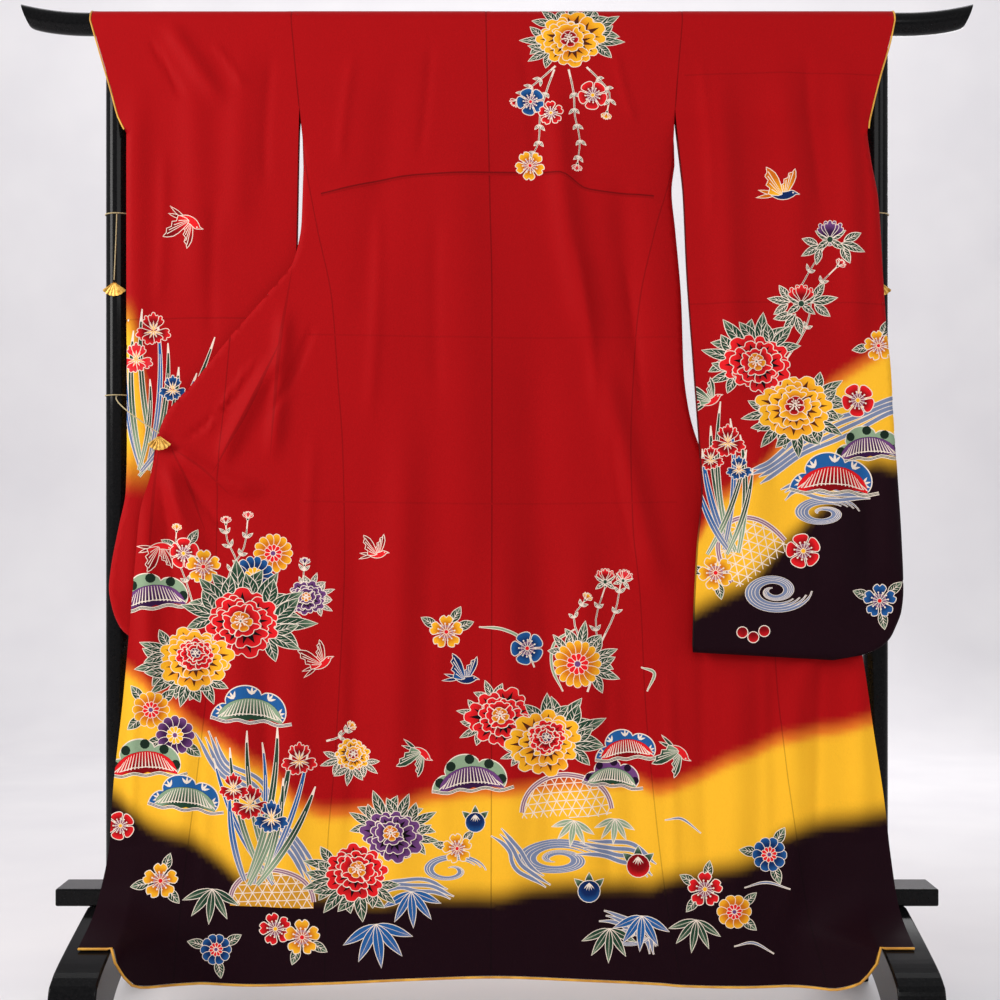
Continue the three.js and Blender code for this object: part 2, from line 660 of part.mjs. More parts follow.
const SLEEVE = {
  left: {
    inner: table('z x', [628, -333], [1000, -338], [1431, -332], [ARMHOLE_LOW, -330]),
    outer: table('z x', [638, -585], [650, -612], [667, -630], [700, -643], [732, -648],
      [770, -644], [832, -632], [894, -620], [979, -618], [1300, -618], [1490, -618],
      [1517, -630], [1564, -644], [1650, -671], [BAR.z, -682]),
    // heights at the inner and at the outer edge
    rows: table('inner outer', [628, 638], [630.5, 641], [638, 652], [660, 675], [700, 720],
      [780, 790], [880, 880], [980, 980], [1090, 1090], [1200, 1200], [1300, 1300],
      [1400, 1400], [1490, 1490], [1512, 1512], [ARMHOLE_LOW, ARMHOLE_LOW], [1580, 1580],
      [1620, 1620], [1650, 1650], [BAR.z, BAR.z]),
  },
  right: {
    inner: table('z x', [627, 324], [671, 325], [797, 331], [896, 339], [979, 334],
      [1101, 325], [1253, 314], [1383, 308], [1455, 302], [ARMHOLE_LOW, 298]),
    outer: table('z x', [614, 556], [620, 597], [632, 629], [650, 649], [668, 658],
      [696, 668], [728, 671], [807, 668], [929, 660], [1009, 655], [1098, 650], [1153, 644],
      [1239, 638], [1368, 630], [1447, 618], [1490, 616], [1537, 627], [1587, 640],
      [1650, 659], [BAR.z, 667]),
    rows: table('inner outer', [627, 614], [629.5, 616.5], [637, 625], [656, 650], [700, 720],
      [780, 790], [880, 880], [980, 980], [1090, 1090], [1200, 1200], [1300, 1300],
      [1400, 1400], [1490, 1490], [1512, 1512], [ARMHOLE_LOW, ARMHOLE_LOW], [1580, 1580],
      [1620, 1620], [1650, 1650], [BAR.z, BAR.z]),
  },
};
const CUFF_BOTTOM = 1490;
const FAR_CUFF_X = 612; // the far layer passes inside the post, up to the bar
const FAR_CUFF_TOP = 1650;
const SLEEVE_LINES = 7;
const SLEEVE_TURN = 9; // the turn at the closed edges

// The share of the full gap between a sleeve's layers at a distance from its closed edge.
const opening = (distance, turn) => {
  const q = clamp(distance / turn);
  return Math.sqrt(1 - (1 - q) ** 2);
};

// One layer's points: a row is [inner edge ... outer edge].
function sleeveRow(side, layer, row, isBottom) {
  const shape = SLEEVE[side];
  const sign = side === 'left' ? -1 : 1;
  const x0 = row.inner > ARMHOLE_LOW ? sideX(side, row.inner)
    : read(shape.inner, 'z', 'x', row.inner);
  const closed = row.outer <= CUFF_BOTTOM;
  let x1 = read(shape.outer, 'z', 'x', row.outer);
  if (layer === 'far' && !closed && row.outer <= FAR_CUFF_TOP) x1 = sign * FAR_CUFF_X;
  const width = Math.abs(x1 - x0);
  const edge = [1 - SLEEVE_TURN / width, 1 - SLEEVE_TURN / 4 / width, 1];
  const shares = [...range(SLEEVE_LINES).map((i) => (edge[0] * i) / SLEEVE_LINES), ...edge];
  const bottom = shape.rows[0];
  return shares.map((share) => {
    const [x, z] = [mix(x0, x1, share), mix(row.inner, row.outer, share)];
    const nearY = read(HANG[side].sleeveNear, 'z', 'y', z);
    const farY = read(HANG[side].sleeveFar, 'z', 'y', z);
    const toSide = closed ? opening((1 - share) * width, SLEEVE_TURN) : 1;
    const toBottom = isBottom ? 0
      : opening(z - mix(bottom.inner, bottom.outer, share), SLEEVE_TURN);
    const half = ((farY - nearY) / 2) * Math.min(toSide, toBottom);
    const middle = (nearY + farY) / 2 - relief(SLEEVE_FOLDS, x, z);
    return [x, middle + (layer === 'near' ? -half : half), z];
  });
}

function sleeve(side) {
  const shape = SLEEVE[side];
  const layer = (name) => shape.rows.map((row, i) => sleeveRow(side, name, row, i === 0));
  const [near, far] = [layer('near'), layer('far')];
  const topRow = near[near.length - 1];
  const over = range(BAR_STEPS + 1).map((i) => topRow.map(([x]) => overBar(x, barAngle(i))));
  const surface = new Surface();
  surface.patch([...near.slice(0, -1), ...over, ...far.slice(0, -1).reverse()]);
  return surface;
}

// ---------------------------------------------------------------------------
// The gold edges at the hem and the cuffs
// ---------------------------------------------------------------------------

// A roll just outside a piece's edge. `edge` holds the edge's points and `within` points a little
// way inside the piece from them.
function rollAlong(edge, within, radius) {
  const points = edge.map((place) => new THREE.Vector3(...place));
  const inside = within.map((place) => new THREE.Vector3(...place));
  const clear = radius + GAP + 0.1;
  return cordAlong(points.map((p, i) => {
    const before = points[Math.max(i - 1, 0)];
    const after = points[Math.min(i + 1, points.length - 1)];
    const ahead = after.clone().sub(before).normalize();
    const out = p.clone().sub(inside[i]);
    out.addScaledVector(ahead, -out.dot(ahead)).normalize();
    const step = (i === 0 ? after : p).clone().sub(i === 0 ? p : before).normalize();
    return p.clone().addScaledVector(out, clear / Math.max(ahead.dot(step), 0.6));
  }), radius);
}

function hemRoll(side) {
  const shape = OUTLINE[side];
  const hemRow = (level) => {
    const okumiX = read(shape.okumi, 'z', 'x', level);
    const seamX = sideX(side, level);
    const edgeX = read(shape.edge, 'z', 'x', level);
    const centreX = read(CENTRE, 'z', 'x', level);
    const inward = Math.sign(centreX - seamX);
    const okumi = OKUMI_SHARES.slice(1).reverse().map((s) => mix(okumiX, edgeX, s));
    const spread = range(8).map((i) => mix(okumiX, seamX, i / 8));
    const back = range(10).map((i) => mix(seamX, centreX - inward * GAP, i / 9));
    return [...okumi, ...spread, ...back].map((x) => bodyPoint(x, level));
  };
  const [edge, within] = [hemRow(HEM_LEVEL), hemRow(HEM_LEVEL + 8)];
  return rollAlong(edge, within, HEM_ROLL);
}

function cuffRoll(side) {
  const rows = SLEEVE[side].rows.filter((row) => row.outer >= CUFF_BOTTOM);
  const column = (layer, fromEdge) => rows.slice(1, -1).map((row) => {
    const points = sleeveRow(side, layer, row, false);
    return points[points.length - 1 - fromEdge];
  });
  const barX = read(SLEEVE[side].outer, 'z', 'x', BAR.z);
  const sign = Math.sign(barX);
  const over = (x) => range(BAR_STEPS + 1).map((i) => overBar(x, barAngle(i), CUFF_LIFT));
  const loop = (fromEdge, x) => [
    ...column('near', fromEdge), ...over(x), ...column('far', fromEdge).reverse(),
  ];
  return rollAlong(loop(0, barX), loop(2, barX - sign * SLEEVE_TURN), CUFF_ROLL);
}

// ---------------------------------------------------------------------------
// The stand
// ---------------------------------------------------------------------------

function bar() {
  const stations = [1, 0.86, 0.7, 0.5, 0.25, 0].map((share) => mix(BAR_TIP.from, BAR.reach, share));
  const along = [...stations.map((x) => -x), ...stations.reverse()];
  return loft(along.map((x) => {
    const tip = clamp((Math.abs(x) - BAR_TIP.from) / (BAR.reach - BAR_TIP.from));
    return range(BAR.sides).map((i) => {
      const angle = (2 * Math.PI * i) / BAR.sides;
      const up = Math.sin(angle);
      const cut = tip === 1 ? (1 - up) / 2 : 0; // the end is cut back towards its underside
      return new THREE.Vector3(
        x - Math.sign(x) * BAR_TIP.slant * cut,
        -BAR.halfDepth * Math.cos(angle),
        BAR.z + BAR_TIP.rise * tip * tip + BAR.halfHeight * up,
      );
    });
  }));
}

function post() {
  const bottom = RAIL.top + GAP;
  const height = BAR.z - BAR.halfHeight - GAP - bottom;
  return new THREE.CylinderGeometry(POST.radius, POST.radius, height, POST.sides)
    .rotateX(Math.PI / 2).translate(0, 0, bottom + height / 2);
}

// The foot's section, drawn looking along X: an arch with a rounded nose at each end.
function foot() {
  const half = [[0, 199.4], [45, 199.4], [100, 186], [185, 164], [250, 144]];
  const nose = [[268, 134], [279, 117], [FOOT.reach, 90], [FOOT.reach, 0]];
  const right = [...half, ...nose];
  const arch = range(13).map((i) => {
    const angle = (Math.PI * i) / 12;
    return [FOOT.archReach * Math.cos(angle), FOOT.archHeight * Math.sin(angle)];
  });
  const outline = [
    ...right, ...arch, ...right.slice(1).reverse().map(([y, z]) => [-y, z]),
  ];
  const shape = new THREE.Shape(outline.map(([y, z]) => new THREE.Vector2(y, z)));
  return new THREE.ExtrudeGeometry(shape, { depth: FOOT.width, bevelEnabled: false })
    .rotateX(Math.PI / 2).rotateZ(Math.PI / 2).translate(-FOOT.width / 2, 0, 0);
}

// ---------------------------------------------------------------------------
// The ties: a cord round the post, and a fan-shaped clip on its end
// ---------------------------------------------------------------------------

const TIES = table('name postSide ringZ fanX fanY fanZ',
  ['left_upper', -1, 1362, -643, -24.5, 1246],
  ['left_lower', -1, 1056, -556, -79, 984],
  ['right_upper', 1, 1362, 643, -24.5, 1246],
  ['right_lower', 1, 862, 566, -50.4, 788]);

function ring() {
  const around = POST.radius + GAP + TIE_CORD;
  return new THREE.TorusGeometry(around, TIE_CORD, 6, 24);
}

// A fan opened downwards: a fluted sector with a rounded pivot at the top.
function fan() {
  const { radius, spread, thick, blades, pivot } = FAN;
  const rim = range(blades * 2 + 1).map((i) => {
    const angle = -Math.PI / 2 + spread * (i / (blades * 2) - 0.5);
    const reach = radius * (i % 2 ? 1 : 0.94);
    return new THREE.Vector2(reach * Math.cos(angle), reach * Math.sin(angle));
  });
  const shape = new THREE.Shape([...rim, new THREE.Vector2(2, pivot), new THREE.Vector2(-2, pivot)]);
  return new THREE.ExtrudeGeometry(shape, { depth: thick, bevelEnabled: false })
    .rotateX(Math.PI / 2).translate(0, thick / 2, 0);
}

function tieCord(tie) {
  const ringFront = -(POST.radius + GAP + TIE_CORD);
  const inward = -tie.postSide;
  const top = new THREE.Vector3(
    tie.postSide * POST.x + inward * 2, ringFront - 0.2, tie.ringZ - TIE_CORD * 2 - GAP,
  );
  // a cord that arrives slanting reaches lower by its own radius than one that hangs
  const slant = clamp(Math.abs(tie.fanX - top.x) / 40);
  const end = new THREE.Vector3(
    tie.fanX, tie.fanY, tie.fanZ + FAN.pivot + GAP + TIE_CORD * slant,
  );
  const round = new THREE.Vector3(top.x, mix(top.y, end.y, 0.8), mix(top.z, end.z, 0.2));
  const path = new THREE.QuadraticBezierCurve3(top, round, end);
  return cordAlong(path.getPoints(8), TIE_CORD);
}

// ---------------------------------------------------------------------------
// The whole
// ---------------------------------------------------------------------------

add('bar', bar(), LACQUER);
add('rail', new THREE.BoxGeometry(2 * RAIL.reach, 2 * RAIL.halfDepth, RAIL.top - RAIL.bottom)
  .translate(0, 0, (RAIL.top + RAIL.bottom) / 2), LACQUER);

for (const side of ['left', 'right']) {
  const sign = side === 'left' ? -1 : 1;
  add(`post_${side}`, post(), LACQUER).position.x = sign * POST.x;
  add(`foot_${side}`, foot(), LACQUER).position.x = sign * FOOT.x;
  add(`body_${side}`, bodyPanel(side).wall(CLOTH), SILK);
  add(`okumi_${side}`, okumiPanel(side).wall(CLOTH), SILK);
  add(`sleeve_${side}`, sleeve(side).wall(CLOTH), SILK);
  add(`hem_roll_${side}`, hemRoll(side), GOLD_SILK);
  add(`cuff_roll_${side}`, cuffRoll(side), GOLD_SILK);
}
add('collar', collarBand().wall(CLOTH), SILK);

for (const tie of TIES) {
  add(`tie_ring_${tie.name}`, ring(), CORD).position.set(tie.postSide * POST.x, 0, tie.ringZ);
  add(`tie_cord_${tie.name}`, tieCord(tie), CORD);
  add(`fan_${tie.name}`, fan(), BRASS).position.set(tie.fanX, tie.fanY, tie.fanZ);
}

export default root;
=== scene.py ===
# %% [markdown]
# # A furisode on its stand
# A furisode is a formal silk kimono with long sleeves. Here it hangs with its back to us on a
# lacquered stand, so that the dyed design can be read like a painting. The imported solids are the
# fixed frame. Everything built below is laid on them, in metres, with +Z up and the viewer on
# the -Y side.

# %% The frame
import json
import math
import random

import bpy
import numpy as np
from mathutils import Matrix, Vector
from mathutils.geometry import delaunay_2d_cdt

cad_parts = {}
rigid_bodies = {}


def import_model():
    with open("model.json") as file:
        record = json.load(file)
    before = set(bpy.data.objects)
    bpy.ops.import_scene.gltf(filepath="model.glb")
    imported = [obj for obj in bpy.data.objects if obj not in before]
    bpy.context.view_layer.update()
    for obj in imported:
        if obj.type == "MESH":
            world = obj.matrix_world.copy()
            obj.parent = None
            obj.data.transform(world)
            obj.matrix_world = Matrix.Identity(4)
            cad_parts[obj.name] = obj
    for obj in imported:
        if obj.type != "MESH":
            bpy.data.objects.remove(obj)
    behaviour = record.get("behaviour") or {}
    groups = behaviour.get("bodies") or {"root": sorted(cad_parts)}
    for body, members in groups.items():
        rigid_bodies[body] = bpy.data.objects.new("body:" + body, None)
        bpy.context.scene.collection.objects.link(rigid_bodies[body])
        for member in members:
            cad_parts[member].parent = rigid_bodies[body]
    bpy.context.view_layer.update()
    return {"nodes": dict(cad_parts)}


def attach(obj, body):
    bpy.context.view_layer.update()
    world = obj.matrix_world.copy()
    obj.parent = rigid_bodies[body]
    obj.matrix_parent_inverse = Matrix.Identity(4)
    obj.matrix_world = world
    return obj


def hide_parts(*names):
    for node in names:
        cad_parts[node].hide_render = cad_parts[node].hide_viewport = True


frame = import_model()

# %% [markdown]
# ## Camera
# The stand is seen square on, from a little below its middle, by a lens of about 57 mm. A small
# upward shift keeps the posts upright, as a view camera does, instead of tilting the lens.

# %% Camera
camera = bpy.data.objects.new("camera", bpy.data.cameras.new("camera"))
bpy.context.scene.collection.objects.link(camera)
camera.data.lens = 57.35
camera.data.shift_x = 0.003
camera.data.shift_y = 0.04
camera.location = (0, -2.7, 0.812)
camera.rotation_euler = (math.pi / 2, 0, 0)
bpy.context.scene.camera = camera
bpy.context.scene.view_settings.view_transform = "Standard"
print("camera at", tuple(camera.location))

# %% [markdown]
# ## Shader arithmetic
# A finish is a small graph of nodes. Wiring them by name is hard to read, so this class stands
# for one socket and lets a finish be written as plain arithmetic.

# %% A socket that can be used in sums
class Wire:
    """One output of a finish's node tree."""

    def __init__(self, tree, socket=None):
        self.tree, self.socket = tree, socket

    def node(self, kind, settings, inputs, output=0):
        """Any node: its settings are made first, then its inputs are set or linked."""
        made = self.tree.nodes.new(kind)
        for name, value in settings.items():
            setattr(made, name, value)
        for name, value in inputs.items():
            feed(self.tree, made.inputs[name], value)
        return Wire(self.tree, made.outputs[output])

    def __add__(self, other):
        return self.node("ShaderNodeMath", {"operation": "ADD"}, {0: self, 1: other})

    def __mul__(self, other):
        return self.node("ShaderNodeMath", {"operation": "MULTIPLY"}, {0: self, 1: other})


def feed(tree, socket, value):
    """Gives an input a plain value, or links it to a Wire."""
    if isinstance(value, Wire):
        tree.links.new(value.socket, socket)
    else:
        socket.default_value = value


def srgb(red, green, blue):
    """A colour given as 0 to 255 numbers, in the linear light that shaders work in."""
    def channel(v):
        v /= 255
        return v / 12.92 if v <= 0.04045 else ((v + 0.055) / 1.055) ** 2.4
    return tuple(channel(v) for v in (red, green, blue))


def finish(name, look):
    """A material whose `look` function says what the shader's inputs are."""
    material = bpy.data.materials.new(name)
    material.use_nodes = True
    tree = material.node_tree
    for socket, value in look(Wire(tree)).items():
        feed(tree, tree.nodes["Principled BSDF"].inputs[socket], value)
    return material


OBJECT_SPACE = 3  # which output of the coordinate node


def speckle(wire, scale, detail=2.0, stretch=(1, 1, 1)):
    """Even noise in the object's own space, from 0 to 1."""
    place = wire.node("ShaderNodeTexCoord", {}, {}, OBJECT_SPACE)
    place = wire.node("ShaderNodeVectorMath", {"operation": "MULTIPLY"}, {0: place, 1: stretch})
    return wire.node("ShaderNodeTexNoise", {"noise_dimensions": "3D"},
                     {"Vector": place, "Scale": scale, "Detail": detail})


def relief_normal(wire, height, depth, strength):
    """The normal of a surface with that height map; depth is its full depth in metres."""
    return wire.node("ShaderNodeBump", {},
                     {"Height": height, "Distance": depth, "Strength": strength})


def ramp(wire, factor, *stops):
    """A colour that runs from the first (place, colour) stop to the second."""
    made = wire.node("ShaderNodeValToRGB", {}, {"Fac": factor})
    for stop, (place, colour) in zip(made.socket.node.color_ramp.elements, stops):
        stop.position, stop.color = place, (*colour, 1)
    return made


# %% [markdown]
# ## The finishes
# Silk crepe is matt, with a pebbled grain of about a millimetre from its twisted weft. Its dye
# is read from the mesh, so one finish serves every panel. The lining is a smoother silk. The
# stand is black lacquer, dark and glossy, with faint brush waves. The clips are gilded metal and
# the ties are twisted cord.

# %% Silk crepe and lining silk
def dyed(wire, grain, amount):
    """The dye on the mesh, with its painted shade, a little uneven as hand dyeing is."""
    dye = wire.node("ShaderNodeVertexColor", {"layer_name": "dye"}, {})
    cloudy = speckle(wire, 9.0, 3.0) * (2 * amount) + (1 - amount)
    fine = grain * 0.12 + 0.94
    return wire.node("ShaderNodeVectorMath", {"operation": "SCALE"},
                     {0: dye, "Scale": cloudy * fine})


def crepe_look(wire):
    grain = speckle(wire, 620.0, 2.0, (1.0, 1.0, 0.45))
    slub = speckle(wire, 46.0, 2.0, (1.0, 1.0, 0.2))
    return {"Sheen Weight": 0.015, "Sheen Roughness": 0.5, "Specular IOR Level": 0.07,
            "Base Color": dyed(wire, grain, 0.05),
            "Roughness": grain * 0.16 + 0.56,
            "Normal": relief_normal(wire, grain * 0.8 + slub * 0.6, 0.0007, 0.55)}


def lining_look(wire):
    grain = speckle(wire, 900.0, 1.0, (0.4, 1.0, 1.0))
    return {"Sheen Weight": 0.1, "Specular IOR Level": 0.4,
            "Base Color": dyed(wire, grain, 0.03),
            "Roughness": grain * 0.1 + 0.46,
            "Normal": relief_normal(wire, grain, 0.0003, 0.4)}


def gold_silk_look(wire):
    grain = speckle(wire, 700.0, 2.0, (0.5, 1.0, 1.0))
    tint = ramp(wire, speckle(wire, 30.0), (0.3, srgb(196, 132, 30)), (0.7, srgb(240, 178, 56)))
    return {"Sheen Weight": 0.15, "Base Color": tint, "Roughness": grain * 0.15 + 0.45,
            "Normal": relief_normal(wire, grain, 0.0004, 0.5)}


crepe = finish("silk_crepe", crepe_look)
lining = finish("lining_silk", lining_look)
gold_silk = finish("gold_edge_silk", gold_silk_look)


# %% Lacquer, gilding and cord
def lacquer_look(wire):
    waves = speckle(wire, 14.0, 2.0, (0.15, 1.0, 0.3))
    dust = speckle(wire, 240.0, 3.0)
    tint = ramp(wire, dust, (0.35, srgb(9, 9, 10)), (0.8, srgb(20, 19, 20)))
    return {"Coat Weight": 0.14, "Coat Roughness": 0.06, "Specular IOR Level": 0.05,
            "Base Color": tint, "Roughness": dust * 0.1 + 0.14,
            "Normal": relief_normal(wire, waves, 0.0006, 0.15)}


def gilt_look(wire):
    worn = speckle(wire, 160.0, 3.0)
    tint = ramp(wire, worn, (0.3, srgb(170, 118, 44)), (0.65, srgb(226, 180, 92)))
    return {"Metallic": 0.9, "Base Color": tint, "Roughness": worn * 0.2 + 0.24}


def cord_look(wire):
    fibre = speckle(wire, 1400.0, 2.0, (1, 1, 0.4))
    tint = ramp(wire, fibre, (0.25, srgb(150, 128, 82)), (0.75, srgb(214, 196, 150)))
    return {"Sheen Weight": 0.2, "Base Color": tint, "Roughness": fibre * 0.1 + 0.75,
            "Normal": relief_normal(wire, fibre, 0.0002, 0.6)}


lacquer = finish("black_lacquer", lacquer_look)
gilt = finish("gilding", gilt_look)
twine = finish("twisted_cord", cord_look)
print("finishes:", [m.name for m in bpy.data.materials])

# %% [markdown]
# ## The ties
# A thin cord is looped round each post and ends in a fan-shaped gilt clip. The lower clips hold
# the cloth and the upper ones hang free. The cords come before the cloth, because their route
# fixes where the clips hang. The ribs of the fan are modelled, since they catch the light.

# %% Cords and fan clips
POST_X, POST_R = 641, 21  # where the posts stand, and their radius
# side, height of the ring on the post, and the place of the clip's pivot
TIES = {"left_upper": (-1, 1362, -643, -24.5, 1246), "left_lower": (-1, 1056, -556, -79, 984),
        "right_upper": (1, 1362, 643, -24.5, 1246), "right_lower": (1, 862, 566, -50.4, 788)}
TIE_RADIUS = 1.0


def new_mesh(name, places, faces):
    """A mesh from points in millimetres."""
    mesh = bpy.data.meshes.new(name)
    mesh.from_pydata((np.array(places, float) / 1000).tolist(), [], faces)
    return mesh


def new_object(name, data, *materials):
    """An object in the scene, with its finishes."""
    for material in materials:
        data.materials.append(material)
    made = bpy.data.objects.new(name, data)
    bpy.context.scene.collection.objects.link(made)
    return made


def tie_path(side, ring_z, fan_x, fan_y, fan_z):
    """From the front of the post down to the clip, on one soft curve."""
    top = np.array([side * (POST_X - 2), -22.5, ring_z - 2.3])
    slant = min(abs(fan_x - top[0]) / 40, 1)
    end = np.array([fan_x, fan_y, fan_z + 2.8 + slant])
    bend = np.array([top[0], top[1] * 0.2 + end[1] * 0.8, top[2] * 0.8 + end[2] * 0.2])
    return np.array([(1 - t) ** 2 * top + 2 * t * (1 - t) * bend + t * t * end
                     for t in np.linspace(0, 1, 21)])


def free_cord(name, path):
    """A round cord as a curve of one open spline."""
    curve = bpy.data.curves.new(name, "CURVE")
    curve.dimensions, curve.bevel_depth, curve.bevel_resolution = "3D", TIE_RADIUS / 1000, 3
    curve.use_fill_caps = True
    spline = curve.splines.new("POLY")
    spline.points.add(len(path) - 1)
    for point, place in zip(spline.points, path / 1000):
        point.co = (*place, 1)
    return new_object(name, curve, twine)


def fan_clip(name, x, y, z):
    """A fan open downwards, folded into ribs that start at its pivot."""
    ribs, spread = 14, 1.9
    front, back = [], []
    for i in range(ribs + 1):
        angle = -math.pi / 2 + spread * (i / ribs - 0.5)
        fold = 1.2 if i % 2 else 0.3
        for reach in (1.5, 24.6 if i % 2 else 23.6):
            place = (x + reach * math.cos(angle), z + reach * math.sin(angle))
            front.append((place[0], y - fold * (0.4 if reach < 2 else 1), place[1]))
            back.append((place[0], y + 1.2 - (1.2 - fold) * 0.4, place[1]))
    count = len(front)
    faces = []
    for i in range(ribs):
        a, b = 2 * i, 2 * i + 2
        faces += [[a, a + 1, b + 1, b], [count + a, count + b, count + b + 1, count + a + 1],
                  [a + 1, count + a + 1, count + b + 1, b + 1], [a, b, count + b, count + a]]
    faces += [[0, count, count + 1, 1], [count - 2, count - 1, 2 * count - 1, 2 * count - 2]]
    return new_object(name, new_mesh(name, front + back, faces), gilt)


for name, (side, ring_z, fan_x, fan_y, fan_z) in TIES.items():
    path = tie_path(side, ring_z, fan_x, fan_y, fan_z)
    cord = free_cord(f"tie_{name}_twine", path)
    clip = fan_clip(f"fan_{name}_gilt", fan_x, fan_y, fan_z)
    ring_finishes = frame["nodes"][f"tie_ring_{name}"].data.materials
    ring_finishes.clear()
    ring_finishes.append(twine)
    for piece, node, slot in ((cord, f"tie_cord_{name}", "cord"), (clip, f"fan_{name}", "brass")):
        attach(piece, "root")
        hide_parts(node)
    tuple(path[0] / 1000)

# %% [markdown]
# ## Small sums
# Lengths below are in millimetres, as a tailor would give them, and are turned into metres when
# a mesh is made. `read` draws a curve through the rows of a table that never swings past them.

# %% Helpers for numbers
def mix(a, b, t):
    return a + (b - a) * t


def smooth(t):
    t = np.clip(t, 0, 1)
    return t * t * (3 - 2 * t)


def read(rows, at):
    """The curve through (place, value) rows, at one place or many."""
    places, values = np.array(rows, float).T
    steep = np.diff(values) / np.diff(places)
    before, after = steep[:-1], steep[1:]
    bends = before * after > 0
    middle = np.where(bends, 2 * before * after / np.where(bends, before + after, 1), 0)
    slope = np.concatenate([steep[:1], middle, steep[-1:]])
    at = np.clip(at, places[0], places[-1])
    i = np.clip(np.searchsorted(places, at, side="right") - 1, 0, len(places) - 2)
    span = places[i + 1] - places[i]
    t = (at - places[i]) / span
    return (mix(values[i], values[i + 1], t * t * (3 - 2 * t))
            + span * t * (1 - t) * (slope[i] * (1 - t) - slope[i + 1] * t))


def run_along(points):
    """How far along a line each of its points lies."""
    return np.concatenate([[0], np.cumsum(np.hypot(*np.diff(points, axis=0).T))])


def line_through(corners, step=10.0):
    """Points about `step` apart on a smooth line through [x, z] corners."""
    p = np.array(corners, float)
    run = run_along(p)
    at = np.linspace(0, run[-1], max(int(run[-1] / step), 2) + 1)
    return np.column_stack([read(np.column_stack([run, p[:, k]]), at) for k in (0, 1)])


def up_table(table, low, high, step=10.0):
    """Points [x, z] up a (z, x) table, from low to high."""
    z = np.linspace(low, high, max(int(abs(high - low) / step), 1) + 1)
    return np.column_stack([read(table, z), z])


print("a curve through 0, 1, 0 read between its rows:", read([[0, 0], [1, 1], [2, 0]], 0.5))

# %% [markdown]
# ## How the cloth hangs
# A hung cloth is nearly flat: each layer lies at its own depth behind or before the bar, and
# long folds run down from where it is held. So a layer is one function, the depth at each place
# of the front view. Folds are drawn as soft troughs and ridges, uneven in length and
# depth. A simulation would also work, but it loses the exact edges that the seams need.

# %% Depths of the layers
BAR_Z, BAR_DEEP, BAR_HIGH = 1685.7, 22.3, 20.3  # the cloth's middle surface on the bar
CLOTH = 2.0  # how thick the silk and its lining are together
FAR_TOP = [[1535, -10], [1580, 8], [1620, 20], [1650, 24.5], [BAR_Z, BAR_DEEP]]
NEAR_TOP = {"left": [[1535, -41], [1600, -33], [1650, -26], [BAR_Z, -BAR_DEEP]],
            "right": [[1535, -36], [1600, -31], [1650, -26], [BAR_Z, -BAR_DEEP]]}
# rows of height and depth; the layers share their last rows, where they pass over the bar
HANG = {
    ("left", "body"): [[0, -70], [300, -68], [1000, -66], [1300, -65], [1431, -54],
                       *NEAR_TOP["left"]],
    ("left", "front"): [[0, -54], [1340, -53], [1431, -44], [1480, -30], *FAR_TOP],
    ("left", "sleeve_near"): [[0, -46], [1431, -46], [1490, -45], *NEAR_TOP["left"]],
    ("left", "sleeve_far"): [[0, -26], [1490, -26], *FAR_TOP],
    ("right", "body"): [[0, -68], [300, -62], [520, -48], [900, -44], [1300, -43], [1431, -40],
                        *NEAR_TOP["right"]],
    ("right", "front"): [[0, -31], [1340, -30], [1431, -28], [1480, -22], *FAR_TOP],
    ("right", "sleeve_near"): [[0, -76], [1380, -76], [1431, -70], [1490, -52],
                               *NEAR_TOP["right"]],
    ("right", "sleeve_far"): [[0, -56], [1380, -56], [1431, -50], [1490, -30], *FAR_TOP],
}
print("layers that hang:", len(HANG))

# %% Folds, each from its upper end to its lower end
# columns: x0 z0 x1 z1 bow width depth; a negative depth is a trough
BODY_FOLDS = [
    [-161, 1650, -228, 1120, 0, 28, -3], [100, 1600, 172, 1090, -20, 22, 9],
    [165, 1140, 278, 690, 0, 24, 9], [205, 1440, 236, 1060, 0, 22, -5],
    [-62, 1560, -44, 560, 0, 42, 5], [58, 1250, 92, 190, 0, 36, -6],
    [-150, 1080, -172, 130, 0, 30, 7], [-226, 920, -250, 110, 0, 26, -4],
    [8, 900, 22, 100, 6, 32, 5], [140, 900, 152, 100, 0, 28, 6],
    [214, 700, 232, 100, 0, 24, -4], [-352, 1130, -462, 925, -6, 14, 8],
    [-350, 1215, -374, 930, 4, 14, 7], [-548, 972, -376, 890, -14, 16, 7],
    [-560, 962, -466, 640, 10, 20, 8], [-576, 930, -566, 480, -6, 18, 8],
    [-430, 820, -418, 190, 0, 30, 7], [-330, 740, -352, 140, 0, 28, 6],
    [-500, 700, -528, 240, 0, 22, 6], [330, 990, 480, 560, 8, 22, 4],
    [562, 770, 470, 400, -8, 22, 5], [592, 700, 604, 300, 6, 20, 6],
    [404, 640, 390, 140, 0, 30, 7], [506, 560, 474, 140, 0, 24, 6]]
FRONT_FOLDS = [
    [-280, 1660, -300, 1300, 0, 20, 2], [-200, 1670, -240, 1240, 0, 22, -3],
    [-140, 1650, -190, 1330, 0, 18, 1], [160, 1660, 210, 1200, 0, 22, -6],
    [240, 1660, 270, 1240, 0, 20, -5]]
SLEEVE_FOLDS = [
    [-562, 1690, -450, 1530, 0, 16, 5], [-600, 1600, -596, 1060, -4, 22, 5],
    [-512, 1640, -500, 1180, 6, 26, 4], [-420, 1660, -436, 1290, 0, 26, 4],
    [-600, 900, -612, 690, 0, 20, 3], [372, 1640, 402, 1000, -8, 26, 7],
    [470, 1660, 490, 1120, 10, 30, 6], [580, 1640, 596, 1060, -6, 24, 7],
    [430, 1050, 412, 650, 0, 30, 6], [540, 1100, 572, 660, 6, 30, 8],
    [640, 980, 646, 720, 0, 18, 6]]
